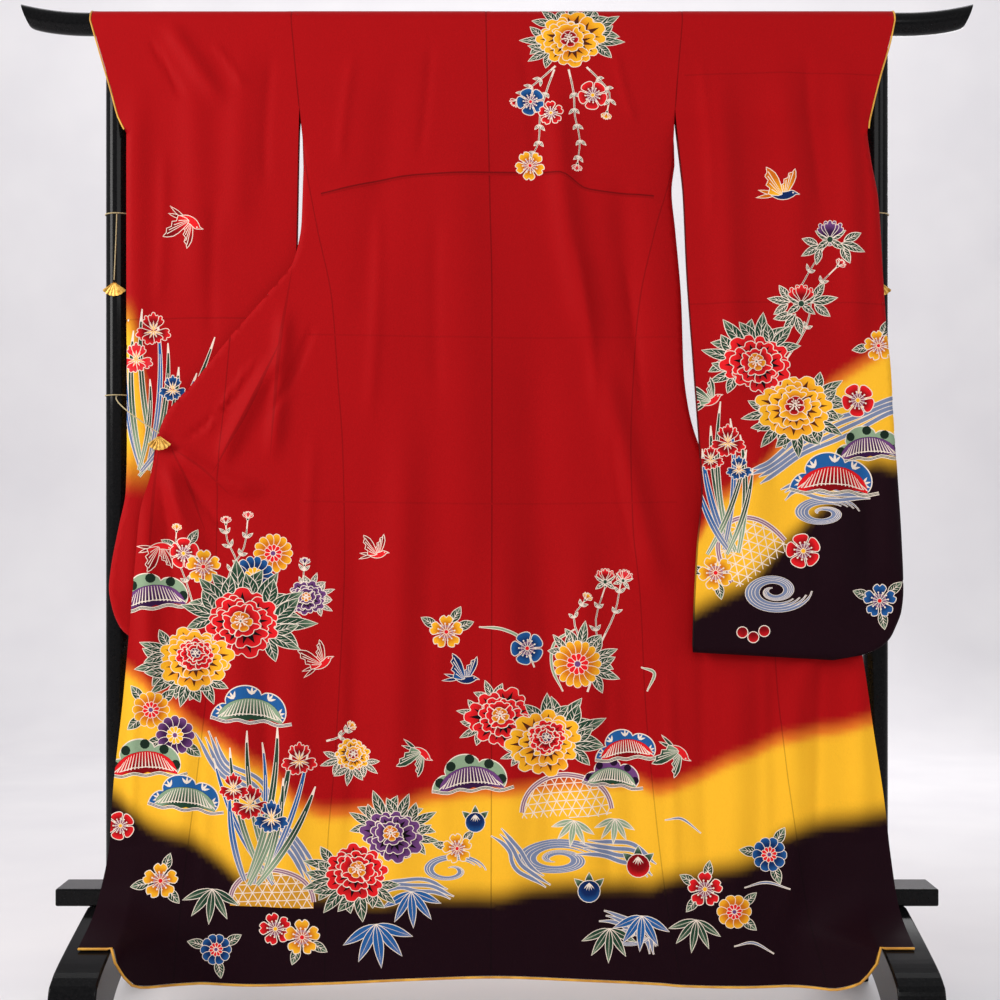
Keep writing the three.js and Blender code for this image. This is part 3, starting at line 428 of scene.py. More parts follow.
# narrower creases that lie over the main folds
BODY_CREASES = [
    [-110, 1660, -132, 1430, 3, 8, -1.6], [-238, 1640, -262, 1420, -4, 9, 1.8],
    [40, 1650, 66, 1420, 4, 10, -1.5], [196, 1640, 232, 1500, -3, 8, 1.9],
    [-196, 1400, -214, 980, 5, 11, 2.2], [-100, 1380, -96, 1010, -4, 12, -1.6],
    [128, 1330, 166, 1010, 6, 9, 2.4], [212, 1290, 246, 1000, 3, 8, -2.2],
    [188, 1010, 236, 760, -5, 9, -2.6], [-300, 1180, -382, 1004, 6, 7, -2.4],
    [-392, 1120, -486, 978, -4, 6, 2.3], [-420, 1060, -524, 972, 3, 6, -2.1],
    [-540, 960, -430, 806, -6, 8, -3.0], [-548, 950, -500, 700, 6, 8, 2.4],
    [-560, 940, -530, 660, 4, 7, -2.3], [-300, 1010, -306, 640, -8, 10, 1.8],
    [-256, 700, -262, 240, 5, 12, 1.8], [-92, 820, -86, 260, -6, 14, 1.6],
    [60, 760, 64, 180, 5, 13, 1.7], [186, 660, 190, 170, -5, 11, -1.9],
    [282, 640, 290, 130, 6, 10, 2.2], [344, 760, 352, 160, -5, 12, -2.0],
    [440, 700, 444, 180, 5, 10, 1.9], [548, 740, 528, 260, -4, 9, -2.2],
    [-384, 620, -388, 150, 5, 10, -1.9], [-470, 540, -486, 160, -4, 10, 1.8],
    [-600, 640, -606, 300, 3, 8, 2.0], [-292, 1388, -129, 1421, 0, 7, 1.6],
    [-140, 1421, 110, 1426, 0, 7, 1.6], [101, 1424, 262, 1388, 0, 7, 1.6]]
SLEEVE_CREASES = [
    [-590, 1660, -520, 1540, 3, 7, -2.0], [-480, 1650, -418, 1560, 3, 8, 1.8],
    [-376, 1640, -386, 1380, -4, 9, -1.7], [-556, 1480, -566, 1180, 5, 10, 1.9],
    [-468, 1400, -474, 1120, -5, 11, -1.7], [340, 1640, 352, 1300, 5, 9, 1.8],
    [520, 1650, 536, 1330, -6, 10, -2.0], [612, 1560, 618, 1200, 3, 8, 1.8],
    [450, 1200, 462, 860, -6, 12, -2.0], [372, 1000, 366, 680, 4, 10, 1.9],
    [590, 1040, 612, 720, 5, 10, -2.1], [500, 940, 520, 660, -5, 10, 1.8]]


FOLD_SCALE = 1.35  # on every depth in the tables
FADE = 0.25  # the share of its length over which a fold fades at each end


def fold_height(folds, x, z):
    """How far the folds lift the cloth towards the viewer."""
    total = np.zeros(np.broadcast(x, z).shape)
    for x0, z0, x1, z1, bow, width, depth in folds:
        dx, dz = x1 - x0, z1 - z0
        long = math.hypot(dx, dz)
        t = ((x - x0) * dx + (z - z0) * dz) / long ** 2
        off = ((z - z0) * dx - (x - x0) * dz) / long - bow * 4 * t * (1 - t)
        total = total + (FOLD_SCALE * depth * smooth(t / FADE) * smooth((1 - t) / FADE)
                         * np.exp(-(off / width) ** 2))
    return total


print("folds:", len(BODY_FOLDS) + len(FRONT_FOLDS) + len(SLEEVE_FOLDS),
      "creases:", len(BODY_CREASES) + len(SLEEVE_CREASES))

# %% The panels' edges, seen from the viewer's side
HEM = [[-661, 168], [-604, 168], [-595, 143], [-587, 122], [-575, 102], [-550, 92], [-500, 84],
       [-400, 79], [-285, 82], [-150, 88], [-8, 92], [150, 86], [272, 80], [306, 77], [400, 75],
       [470, 77], [540, 83], [574, 104], [587, 126], [595, 146], [604, 168], [659, 168]]
CENTRE = [[76, -10], [500, -9], [1200, -8.5], [1412, -12.7], [BAR_Z, -18.5]]
SIDE = {
    "left": [[76, -285], [300, -280], [450, -268], [646, -257], [795, -252], [961, -255],
             [1077, -263], [1209, -273], [1326, -297], [1431, -317], [1535, -330], [BAR_Z, -346]],
    "right": [[76, 306], [210, 281], [377, 261], [545, 247], [712, 239], [845, 226], [962, 222],
              [1079, 227], [1213, 239], [1330, 264], [1438, 292], [1535, 298], [BAR_Z, 311.5]]}
OKUMI = {
    "left": [[76, -530], [222, -520], [384, -500], [548, -481], [713, -466], [919, -461],
             [1050, -450], [1150, -441]],
    "right": [[76, 541], [187, 515], [333, 493], [481, 475], [600, 464], [858, 452]]}
EDGE = {
    "left": [[164, -661], [230, -652], [300, -641], [403, -634], [548, -618], [656, -608],
             [797, -595], [862, -588], [936, -569], [980, -565]],
    "right": [[164, 659], [230, 656], [300, 650], [381, 642], [500, 625], [613, 608],
              [700, 592], [790, 575]]}
FOLD = {
    "left": [[980, -565], [1024, -546], [1068, -507], [1134, -454], [1150, -441], [1181, -414],
             [1219, -381], [1278, -336], [1340, -324], [1431, -322]],
    "right": [[790, 575], [815, 520], [858, 452], [905, 385], [962, 341], [1037, 319],
              [1095, 312], [1212, 308], [1330, 298], [1395, 292], [1438, 297]]}
TIE = {"left": 980, "right": 790}
CROSS = {"left": 1150, "right": 858}
OPEN_TOP = {"left": 1431, "right": 1438}
COLLAR_EDGE = {
    "left": [[-565, 980], [-505, 968], [-420, 990], [-335, 1060], [-255, 1160], [-195, 1280],
             [-150, 1420]],
    "right": [[575, 790], [515, 782], [430, 806], [345, 876], [270, 980], [205, 1120],
              [150, 1280]]}
COLLAR_TOP = {"left": [[-150, 1420], [-124, 1560], [-111, 1640]],
              "right": [[150, 1280], [112, 1450], [86, 1570], [74, 1640]]}
OKUMI_BACK = {
    "left": [[-441, 1150], [-340, 1225], [-235, 1330], [-150, 1420]],
    "right": [[452, 858], [384, 868], [320, 940], [255, 1060], [200, 1180], [150, 1280]]}
NECK_X = -18.5
SLEEVE_INNER = {
    "left": [[628, -333], [1000, -338], [1431, -332], [1535, -330], [BAR_Z, -346]],
    "right": [[627, 324], [671, 325], [797, 331], [896, 339], [979, 334], [1101, 325],
              [1253, 314], [1383, 308], [1455, 302], [1535, 298], [BAR_Z, 311.5]]}
SLEEVE_OUTER = {
    "left": [[638, -585], [650, -612], [667, -630], [700, -643], [732, -648], [770, -644],
             [832, -632], [894, -620], [979, -618], [1300, -618], [1490, -618], [1517, -630],
             [1564, -644], [1650, -671], [BAR_Z, -682]],
    "right": [[614, 556], [620, 597], [632, 629], [650, 649], [668, 658], [696, 668],
              [728, 671], [807, 668], [929, 660], [1009, 655], [1098, 650], [1153, 644],
              [1239, 638], [1368, 630], [1447, 618], [1490, 616], [1537, 627], [1587, 640],
              [1650, 659], [BAR_Z, 667]]}
SLEEVE_BOTTOM = {"left": [[-333, 628], [-585, 638]], "right": [[324, 627], [556, 614]]}
ARMHOLE = 1480  # its lowest place
CUFF_BOTTOM, FAR_CUFF_X, FAR_CUFF_TOP = 1490, 612, 1650
TURN = 9.0  # radius of the turn where two layers join
print("hem from", HEM[0], "to", HEM[-1])

# %% [markdown]
# Where cloth turns back on itself, its two layers meet in a soft crest. `crest` says how much of
# a layer's own depth is left at a distance from that edge: none at the edge, all of it one turn
# away, along a quarter circle.


# %% Depth of every layer at a place of the front view
def crest(distance):
    q = np.clip(distance / TURN, 0, 1)
    return np.sqrt(1 - (1 - q) ** 2)


BLEND_FROM, BLEND_OVER = 230, 430  # the left side's depth turns into the right side's
FEET_FROM, FEET_OVER = 470, 130  # where the drawn-out fronts come to lie over the feet
OVER_FOOT = [[110, 141], [150, 139], [162, 131], [172, 110], [184, 76], [200, 45], [220, 24],
             [250, 10], [310, 0]]


def back_depth(x, z):
    """The back panels and the spread fronts, before they turn at a fold."""
    side = smooth((x + BLEND_FROM) / BLEND_OVER)
    hang = mix(read(HANG["left", "body"], z), read(HANG["right", "body"], z), side)
    ahead = np.clip((abs(x) - FEET_FROM) / FEET_OVER, 0, 1) ** 2 * read(OVER_FOOT, z)
    lift = fold_height(BODY_FOLDS, x, z) + fold_height(BODY_CREASES, x, z)
    return hang - lift - ahead


def front_depth(side, x, z):
    return read(HANG[side, "front"], z) - fold_height(FRONT_FOLDS, x, z)


def with_crest(side, x, z, own):
    """A body layer's own depth, turned to the crest where it nears the fold."""
    fold_x = read(FOLD[side], z)
    middle = (back_depth(fold_x, z) + front_depth(side, fold_x, z)) / 2
    fade = np.clip((ARMHOLE - z) / 49, 0, 1) * np.clip((z - TIE[side] + 40) / 40, 0, 1)
    return mix(own, middle, (1 - crest(abs(x - fold_x))) * fade)


def body_near(side, x, z):
    return with_crest(side, x, z, back_depth(x, z))


def body_far(side, x, z):
    return with_crest(side, x, z, front_depth(side, x, z))


def sleeve_depth(side, layer, x, z):
    near, far = (read(HANG[side, f"sleeve_{k}"], z) for k in ("near", "far"))
    to_side = np.where(z <= CUFF_BOTTOM, crest(abs(x - read(SLEEVE_OUTER[side], z))), 1)
    (x0, z0), (x1, z1) = SLEEVE_BOTTOM[side]
    to_bottom = crest(z - mix(z0, z1, np.clip((x - x0) / (x1 - x0), 0, 1)))
    lift = fold_height(SLEEVE_FOLDS, x, z) + fold_height(SLEEVE_CREASES, x, z)
    half = (far - near) / 2 * np.minimum(to_side, to_bottom)
    return (near + far) / 2 - lift + (-half if layer == "near" else half)


print("the back lies", round(float(back_depth(0.0, 1000.0)), 1), "mm from the bar's middle")

# %% [markdown]
# A layer's place on the cloth is (x, v): v is the height while it hangs, and runs on over the
# bar as length of cloth, so a design can pass over the top.


# %% From the flat cloth to space
OVER = math.pi * math.hypot(BAR_DEEP, BAR_HIGH) / math.sqrt(2)  # cloth's length over the bar
TOP = BAR_Z + OVER / 2


def in_space(depth, far, x, v):
    """Places on a flat layer to places in space, in millimetres."""
    angle = np.clip(v - BAR_Z, 0, None) / OVER * math.pi
    side = 1 if far else -1
    y = np.where(v > BAR_Z, side * BAR_DEEP * np.cos(angle), depth(x, np.minimum(v, BAR_Z)))
    z = np.where(v > BAR_Z, BAR_Z + BAR_HIGH * np.sin(angle), v)
    return np.column_stack([x, y, z])


def unit(ways):
    """Directions brought to length one."""
    return ways / np.linalg.norm(ways, axis=1)[:, None]


def outward(depth, far, x, v):
    """The direction that a layer's dyed side faces, from places a little to each side."""
    reach = 1.5
    along = in_space(depth, far, x + reach, v) - in_space(depth, far, x - reach, v)
    up = in_space(depth, far, x, v + reach) - in_space(depth, far, x, v - reach)
    return unit(np.cross(along, up) * (-1 if far else 1))


print("cloth that lies on the bar:", round(OVER, 1), "mm")

# %% [markdown]
# ## Dye on cloth
# On the real silk the design is drawn with lines of resist paste, then each field is brushed
# with dye. The same is done here in the flat: a cell of the cloth's mesh belongs to whichever
# shape was laid last over it. A planar triangulation cuts the cloth exactly along every line, so
# the drawing stays sharp at any distance without an image.

# %% The ground: crimson above, a band of gold, aubergine below
CREAM = srgb(244, 226, 208)
CRIMSON = np.array(srgb(168, 6, 12))
GOLD = np.array(srgb(255, 190, 44))
ORANGE = np.array(srgb(226, 112, 34))
AUBERGINE = np.array(srgb(24, 2, 11))
PALE_SILK = np.array(srgb(226, 220, 212))

GOLD_TOP = [[-680, 640], [-636, 614], [-611, 605], [-501, 520], [-426, 465], [-368, 434],
            [-324, 387], [-278, 368], [-180, 379], [-109, 396], [60, 410], [231, 420],
            [268, 407], [339, 429], [392, 457], [436, 475], [476, 491], [557, 503], [615, 520],
            [680, 534]]
DARK_TOP = [[-680, 446], [-656, 423], [-632, 395], [-570, 346], [-508, 326], [-460, 289],
            [-427, 260], [-385, 243], [-283, 232], [-200, 218], [-139, 232], [-28, 227],
            [79, 245], [253, 248], [276, 255], [377, 275], [428, 291], [476, 331], [537, 347],
            [637, 367], [680, 380]]
SLEEVE_GOLD = [[300, 800], [336, 832], [357, 875], [425, 929], [547, 1072], [590, 1104],
               [641, 1136], [690, 1170]]
SLEEVE_DARK = [[300, 685], [326, 700], [412, 749], [468, 807], [553, 886], [626, 947],
               [656, 940], [690, 950]]


def shaded_bands(x, z, gold_top, dark_top):
    """Two soft edges: crimson runs into gold, and gold into aubergine."""
    waver = 1.6 * np.sin(x / 31) + 0.8 * np.sin(x / 13 + 1)
    red = smooth((z - read(gold_top, x) + waver + 34) / 60)
    light = smooth((z - read(dark_top, x) + waver + 26) / 50)
    glow = mix(GOLD, ORANGE, smooth(red * 2.6)[:, None])
    return mix(AUBERGINE, mix(glow, CRIMSON, smooth(red * 1.7 - 0.5)[:, None]), light[:, None])


def skirt_ground(x, z):
    return shaded_bands(x, z, GOLD_TOP, DARK_TOP)


def right_sleeve_ground(x, z):
    return shaded_bands(x, z, SLEEVE_GOLD, SLEEVE_DARK)


def left_sleeve_ground(x, z):
    """Plain crimson, but for a sliver of gold at the outer edge."""
    across = smooth((-592 - x + 0.12 * (1180 - z)) / 26)
    band = across * smooth((z - 880) / 110) * smooth((1225 - z) / 90)
    return mix(CRIMSON, GOLD, band[:, None])


SLEEVE_GROUND = {"left": left_sleeve_ground, "right": right_sleeve_ground}
LINING_GOLD = 610  # how high the gold of the lining reaches
TURNED_IN = 34  # how far the dyed cloth is turned in along the sleeve's inner edge


def lining_ground(x, z):
    """The lining: pale silk above, gold over the lowest part of the skirt."""
    return mix(GOLD * 0.8, PALE_SILK, smooth((z - LINING_GOLD) / 6)[:, None])


def plain(dye):
    """The same dye everywhere."""
    return lambda x, z: np.tile(dye, (len(x), 1))


def sleeve_lining(side):
    """Pale silk; the dyed cloth turned in at the sleeve's open inner edge is in painted shade."""
    def ground(x, z):
        turned_in_shaded = smooth((TURNED_IN - abs(x - read(SLEEVE_INNER[side], z))) / 1.5)
        # the turned-in cloth keeps 0.6 of its dye: painted shade inside the sleeve's opening
        return mix(PALE_SILK, SLEEVE_GROUND[side](x, z) * 0.6, turned_in_shaded[:, None])
    return ground


print("gold band at the middle seam:", read(DARK_TOP, 0), "to", read(GOLD_TOP, 0), "mm high")

# %% Cutting a layer along its design
GRID = 8.0  # millimetres between the bare ground's points
FAR_GRID = GRID * 1.3
RINGS = (1.3, 4.0)  # how far inside the outline extra points follow it


def inside(polygon, points):
    x, z = points.T
    within = np.zeros(len(points), bool)
    for (x0, z0), (x1, z1) in zip(polygon, np.roll(polygon, -1, axis=0)):
        if z0 != z1:
            within ^= ((z0 > z) != (z1 > z)) & (x < (x1 - x0) * (z - z0) / (z1 - z0) + x0)
    return within


def distance_to(line, points):
    """How far each point is from the nearest corner or middle of a closed line."""
    line = np.vstack([line, (line + np.roll(line, 1, axis=0)) / 2])
    return np.min([np.hypot(*(points - p).T) for p in line], axis=0)


def cut(outline, shapes, grid):
    """Triangles of a layer, and the shape each belongs to, where 0 is the bare ground."""
    low, high = outline.min(axis=0), outline.max(axis=0)
    columns = np.arange(low[0] + grid / 2, high[0], grid)
    rows = np.arange(low[1] + grid / 2, high[1], grid * 1.15)
    x, z = np.meshgrid(columns, rows)
    x[1::2] += grid / 2
    points = np.column_stack([x.ravel(), z.ravel()])
    points = points[inside(outline, points)]
    points = points[distance_to(outline, points) > grid * 0.7]
    along = np.roll(outline, -1, axis=0) - np.roll(outline, 1, axis=0)
    inward = np.column_stack([-along[:, 1], along[:, 0]]) / np.hypot(*along.T)[:, None]
    for depth in RINGS:
        ring = outline + inward * depth
        ring = ring[inside(outline, ring)]
        points = np.vstack([points, ring[distance_to(outline, ring) > depth * 0.8]])
    laid = [(n + 1, s[0]) for n, s in enumerate(shapes)
            if (s[0].real.max() > low[0] and s[0].real.min() < high[0]
                and s[0].imag.max() > low[1] and s[0].imag.min() < high[1])]
    corners = [Vector(p) for p in outline] + [Vector(p) for p in points]
    edges = []
    for _, line in laid:
        first = len(corners)
        corners += [Vector((p.real, p.imag)) for p in line]
        edges += [(first + k, first + (k + 1) % len(line)) for k in range(len(line))]
    places, _, triangles, _, _, from_faces = delaunay_2d_cdt(
        corners, edges, [list(range(len(outline)))], 0, 1e-3, True)
    places = np.array([tuple(p) for p in places])
    triangles = np.array([t for t, own in zip(triangles, from_faces) if own and len(t) == 3])
    return places, triangles, owners_of(places[triangles].mean(axis=1), laid)


def owners_of(centres, laid):
    """Which shape lies uppermost over each point."""
    owner = np.zeros(len(centres), int)
    order = np.argsort(centres[:, 0])
    across = centres[order, 0]
    for number, line in laid:
        first, last = np.searchsorted(across, (line.real.min(), line.real.max()))
        near = order[first:last]
        near = near[abs(centres[near, 1] - (line.imag.min() + line.imag.max()) / 2)
                    <= (line.imag.max() - line.imag.min()) / 2]
        owner[near[inside(np.column_stack([line.real, line.imag]), centres[near])]] = number
    return owner


def dye_corners(x, z, owner, shapes, ground):
    """The dye at every corner of every triangle, with the painted shadow of the lines of shade."""
    colour = ground(x, z)
    for number in np.unique(owner[owner > 0]):
        here = owner == number
        _, dye, heart = shapes[number - 1]
        # a callable is a line of shade: painted shadow that darkens the ground under it
        if callable(dye):
            colour[here] = dye(colour[here])
            continue
        colour[here] = dye
        if heart:
            place, reach, deep = heart
            far = np.hypot(x[here] - place.real, z[here] - place.imag) / reach
            colour[here] = mix(np.array(deep), np.array(dye), smooth((far - 0.45) / 0.55)[:, None])
    return colour


# %% A cloth piece from its layers
EDGE_SHADE = 0.9


def layer(outline, depth, far, shapes=(), ground=plain(CRIMSON), back=plain(PALE_SILK)):
    """One layer as thin cloth: its dyed face, its lining and the edge between them."""
    blocks = []
    for face, drawn, dyes in ((1, shapes, ground), (-1, (), back)):
        flat, triangles, owner = cut(outline, drawn, FAR_GRID if far else GRID)
        way = outward(depth, far, *flat.T)
        places = in_space(depth, far, *flat.T) + way * (face * CLOTH / 2)
        corner = flat[triangles].reshape(-1, 2)
        dye = dye_corners(*corner.T, np.repeat(owner, 3), drawn, dyes)
        if (face == -1) != far:
            triangles = triangles[:, ::-1]
            dye = dye.reshape(-1, 3, 3)[:, ::-1].reshape(-1, 3)
        blocks.append((places, triangles, way * face, dye, 0 if face == 1 else 1))
    way = outward(depth, far, *outline.T)
    middle = in_space(depth, far, *outline.T)
    along = np.roll(middle, -1, axis=0) - np.roll(middle, 1, axis=0)
    edge = np.cross(along, way)
    edge /= np.maximum(np.linalg.norm(edge, axis=1), 1e-9)[:, None]
    count = len(outline)
    i = np.arange(count)
    j = (i + 1) % count
    strip = np.vstack([np.column_stack([i, j, j + count]),
                       np.column_stack([i, j + count, i + count])])
    corner = outline[strip % count].reshape(-1, 2)
    blocks.append((np.vstack([middle + way * CLOTH / 2, middle - way * CLOTH / 2]), strip,
                   np.vstack([edge, edge]), ground(*corner.T) * EDGE_SHADE, 0))
    return blocks


def mesh_object(name, blocks, *materials):
    """Joins blocks of points, triangles, normals, colours and material numbers into one mesh."""
    offset = np.cumsum([0] + [len(b[0]) for b in blocks[:-1]])
    triangles = np.vstack([b[1] + n for b, n in zip(blocks, offset)])
    mesh = new_mesh(name, np.vstack([b[0] for b in blocks]), triangles.tolist())
    made = new_object(name, mesh, *materials)
    # the dye colours also hold painted shade: the lines of shade and the darkened cut edges
    dye = mesh.color_attributes.new("dye", "FLOAT_COLOR", "CORNER")
    colours = np.vstack([b[3] for b in blocks])
    dye.data.foreach_set("color", np.column_stack([colours, np.ones(len(colours))]).ravel())
    mesh.polygons.foreach_set("material_index",
                              np.concatenate([np.full(len(b[1]), b[4]) for b in blocks]))
    mesh.polygons.foreach_set("use_smooth", np.ones(len(triangles), bool))
    mesh.normals_split_custom_set_from_vertices(np.vstack([b[2] for b in blocks]).tolist())
    return made


def cloth(name, layers, node, flat, area, rests_on):
    """A sewn piece of cloth that stands for its solid."""
    made = mesh_object(name, [block for blocks in layers for block in blocks], crepe, lining)
    size = sum(p.area for p in made.data.polygons)
    print(f"{name}: {len(made.data.polygons)} triangles, {size / 2:.2f} m2 of cloth")
    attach(made, "root")
    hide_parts(node)


# %% [markdown]
# ## Drawing the motifs
# The motifs are the common ones of dyed silk: plum, cherry, peony, chrysanthemum, iris, bamboo
# grass, pine, swallows, baskets and running water. Each is drawn by a short formula as closed
# outlines in millimetres, with a cream line of resist round every field. Complex numbers make
# turning and placing an outline one multiplication and one addition.

# %% Lines and fields
RED, DEEP_RED = srgb(232, 28, 34), srgb(128, 4, 12)
YELLOW, AMBER = srgb(255, 184, 36), srgb(206, 104, 16)
BLUE, DEEP_BLUE = srgb(34, 92, 154), srgb(14, 38, 88)
PURPLE, DEEP_PURPLE = srgb(112, 66, 122), srgb(52, 22, 62)
SAGE, GREEN = srgb(142, 166, 134), srgb(36, 66, 48)
SLATE, INK = srgb(122, 134, 164), srgb(14, 6, 10)
MAUVE, BROWN = srgb(150, 104, 128), srgb(84, 34, 14)
PETALS = {"red": (RED, DEEP_RED), "yellow": (YELLOW, AMBER), "blue": (BLUE, DEEP_BLUE),
          "purple": (PURPLE, DEEP_PURPLE), "sage": (SAGE, GREEN), "pink": (srgb(214, 60, 70), RED)}
random.seed(5)


def turned(degrees):
    return complex(math.cos(math.radians(degrees)), math.sin(math.radians(degrees)))


def curved(points, steps, closed=True):
    """A smooth line through the points, each stretch cut in `steps`."""
    p = np.array(points, complex)
    ends = (p[-1], p[0]) if closed else (2 * p[0] - p[1], 2 * p[-1] - p[-2])
    p = np.concatenate([[ends[0]], p, [ends[1]], [p[1] if closed else 0]])
    t = np.arange(steps) / steps
    pieces = []
    for a, b, c, d in zip(p, p[1:], p[2:], p[3:] if closed else p[3:-1]):
        pieces.append(0.5 * (2 * b + (c - a) * t + (2 * a - 5 * b + 4 * c - d) * t ** 2
                             + (3 * b - a - 3 * c + d) * t ** 3))
    if not closed:
        pieces.append(np.array([p[-3]]))
    return np.concatenate(pieces)


def drawn_in(line, by):
    """A closed line moved inwards."""
    area = np.sum(line.real * np.roll(line.imag, -1) - np.roll(line.real, -1) * line.imag)
    along = np.roll(line, -1) - np.roll(line, 1)
    return line + by * math.copysign(1, area) * 1j * along / np.maximum(abs(along), 1e-9)


def ribbon(path, widths):
    """The outline of a brush stroke along a path."""
    path = np.array(path, complex)
    along = np.gradient(path)
    side = 1j * along / np.maximum(abs(along), 1e-9) * np.broadcast_to(widths, path.shape) / 2
    return np.concatenate([path + side, (path - side)[::-1]])


def bent(start, end, bow, count):
    """A path that leans to its left by `bow` of its length."""
    t = np.linspace(0, 1, count)
    return start + (end - start) * (t + 1j * bow * 4 * t * (1 - t))


def field(line, dye, heart=None):
    return (line, dye, heart)


def stroke(path, widths, dye=CREAM):
    """One stroke of the brush: a line of resist, a dye, or a painted shadow over the ground."""
    return field(ribbon(path, widths), dye)


def edged(line, dye, heart, rim, rim_dye=CREAM):
    """A field of dye inside its line of resist."""
    return [field(line, rim_dye), field(drawn_in(line, rim), dye, heart)]


def put(shapes, at, turn=0, squash=1, flip=False):
    """Shapes turned, pressed and moved to their place."""
    placed = []
    for line, dye, heart in shapes:
        def move(w):
            w = (w.conjugate() if flip else w) * turned(turn)
            return complex(at) + w.real + 1j * w.imag * squash
        line = move(line)
        placed.append((line[::-1] if flip else line, dye,
                       heart and (move(complex(heart[0])), *heart[1:])))
    return placed


def disc(radius, at=0, count=12):
    return at + radius * np.exp(2j * np.pi * np.arange(count) / count)


print("dyes of the flowers:", sorted(PETALS))

# %% Blossoms
def petal(length, width, notch=0.0, start=0.08):
    """One petal that points along the x axis, broad near its end."""
    half = [start * length, (0.42 + 0.3j * width / length) * length,
            (0.72 + 0.5j * width / length) * length, (0.94 + 0.34j * width / length) * length]
    tip = [(1 - notch) * length]
    if notch:
        half.append((1 + 0.13j * width / length) * length)
    return curved(half + tip + [complex(p).conjugate() for p in half[:0:-1]], 2)


def rays(count, inner, outer, width, dot):
    """Stamens: thin lines with a dot at the end."""
    made = []
    for k in range(count):
        way = turned(360 * k / count + 9)
        made += [stroke([inner * way, outer * way], width), field(disc(dot, outer * way, 5), CREAM)]
    return made


def blossom(radius, kind, notch=0.0, core="yellow"):
    """A plum with round petals, or a cherry with notched ones."""
    dye, deep = PETALS[kind]
    made = []
    for k in range(5):
        line = petal(radius, radius * (0.84 if notch else 0.94), notch)
        made += put(edged(line, dye, (0, radius * 0.9, deep), 1.4), 0, 90 + 72 * k)
    made.append(field(disc(radius * 0.4, 0, 14), srgb(170, 130, 150), (0, radius * 0.4, deep)))
    made += rays(12, radius * 0.14, radius * 0.5, 1.1, radius * 0.06)
    made += edged(disc(radius * 0.15), PETALS[core][0], None, 0.8)
    return made


def frilled(length, width):
    """A peony petal: its end is cut into three soft lobes."""
    w = width / length
    half = [0.06, 0.3 + 0.24j * w, 0.56 + 0.5j * w, 0.76 + 0.54j * w, 0.86 + 0.38j * w,
            0.82 + 0.26j * w, 0.96 + 0.16j * w]
    points = half + [1.0] + [complex(p).conjugate() for p in half[:0:-1]]
    return length * curved(points, 3)


def flame(length, width):
    """A pointed stroke that starts and ends in nothing."""
    return ribbon(np.linspace(0, length, 4), width * np.array([0.1, 1, 0.8, 0.05]))


def jag(length, width):
    """The dark of a petal's base, which runs out in three points."""
    w = width / length
    half = [0.42 + 0.2j * w, 0.66 + 0.34j * w, 0.5 + 0.1j * w]
    return length * np.array([0.02, *half, 0.78, *np.conj(half[::-1])])


def peony(radius, kind, core="yellow", dark=INK):
    """Lobed petals in loose rings, dark where they meet, round a cup and a tuft of stamens."""
    dye, deep = PETALS[kind]
    made = []
    for share, count, first, shift in ((1.0, 7, 14, 0), (0.74, 6, 40, 0.03j), (0.46, 4, 90, 0.09j)):
        turns = [first + 360 * k / count for k in range(count)]
        for turn in sorted(turns, key=lambda turn: -math.sin(math.radians(turn))):
            turn += random.uniform(-8, 8)
            long = radius * share * random.uniform(0.86, 1.08)
            wide = 1.9 * long * math.sin(math.pi / count) * random.uniform(0.88, 1.08)
            one = edged(frilled(long, wide), dye, (0, long * 0.86, deep), 1.4)
            if share > 0.5:
                one.append(field(jag(long * 1.1, wide * 0.95), dark))
            made += put(one, radius * shift, turn)
    inner, shade = PETALS[core]
    for turn, long in ((90, 0.27), (40, 0.24), (140, 0.24), (-150, 0.27), (-30, 0.27), (-90, 0.3)):
        made += put(edged(petal(radius * long, radius * 0.23), inner, (0, radius * 0.3, shade), 1.0),
                    radius * 0.08j, turn)
    return made + put(rays(9, radius * 0.03, radius * 0.13, 1.0, radius * 0.024), radius * 0.08j)


def chrysanthemum(radius, kind, count=14, core="red"):
    """Narrow petals in a wheel, with a second small wheel of another colour."""
    dye, deep = PETALS[kind]
    made = []
    wide = 1.95 * radius * math.sin(math.pi / count)
    outer = edged(petal(radius, wide, 0, 0.3), dye, (0, radius * 1.05, deep), 1.0)
    inner = edged(petal(radius * 0.46, radius * 0.24, 0, 0.2), PETALS[core][0], None, 0.9)
    for k in range(count):
        made += put(outer, 0, 360 * k / count)
    for k in range(10):
        made += put(inner, 0, 36 * k + 10)
    made += edged(disc(radius * 0.15), PETALS["purple"][0], None, 1.0)
    return made


print("fields in a plum blossom:", len(blossom(28, "red")))

# %% Leaves, grasses and buds
def leaf(length, width, dye=SAGE, tip=GREEN, veins=3, line=1.1):
    """A pointed leaf, dark along its middle, with its veins in resist."""
    t = np.linspace(0, 1, 8)
    half = width / 2 * np.sin(math.pi * t ** 0.85) ** 0.9
    outline = np.concatenate([length * t + 1j * half, (length * t - 1j * half)[-2:0:-1]])
    made = edged(outline, dye, (length * 0.3, length * 0.75, tip), line)
    if veins:
        middle = [0.04 * length, 0.5 * length, 0.9 * length]
        made.append(stroke(middle, [1.5, 1.1, 0.4]))
        for k in range(veins):
            root = length * (0.2 + 0.5 * k / veins)
            for way in (1, -1):
                end = root + length * 0.2 + way * 0.3j * width
                made.append(stroke([root, end], [1.0, 0.5]))
    return made


def outer_first(count):
    """Steps to both sides of the middle one, the widest first, so that the middle lies on top."""
    return sorted((k - (count - 1) / 2 for k in range(count)), key=lambda lean: -abs(lean))


def lobed_leaf(length, lobes):
    """A peony leaf: pointed lobes that part from one stalk."""
    made = []
    spread = 46 if lobes == 3 else 36
    for lean in outer_first(lobes):
        root = length * 0.12 * turned(lean * spread) * abs(lean)
        lobe = leaf(length * (0.98 - 0.24 * abs(lean)), length * 0.34, SAGE, GREEN, 3, 1.3)
        made += put(lobe, root, lean * spread)
    return made


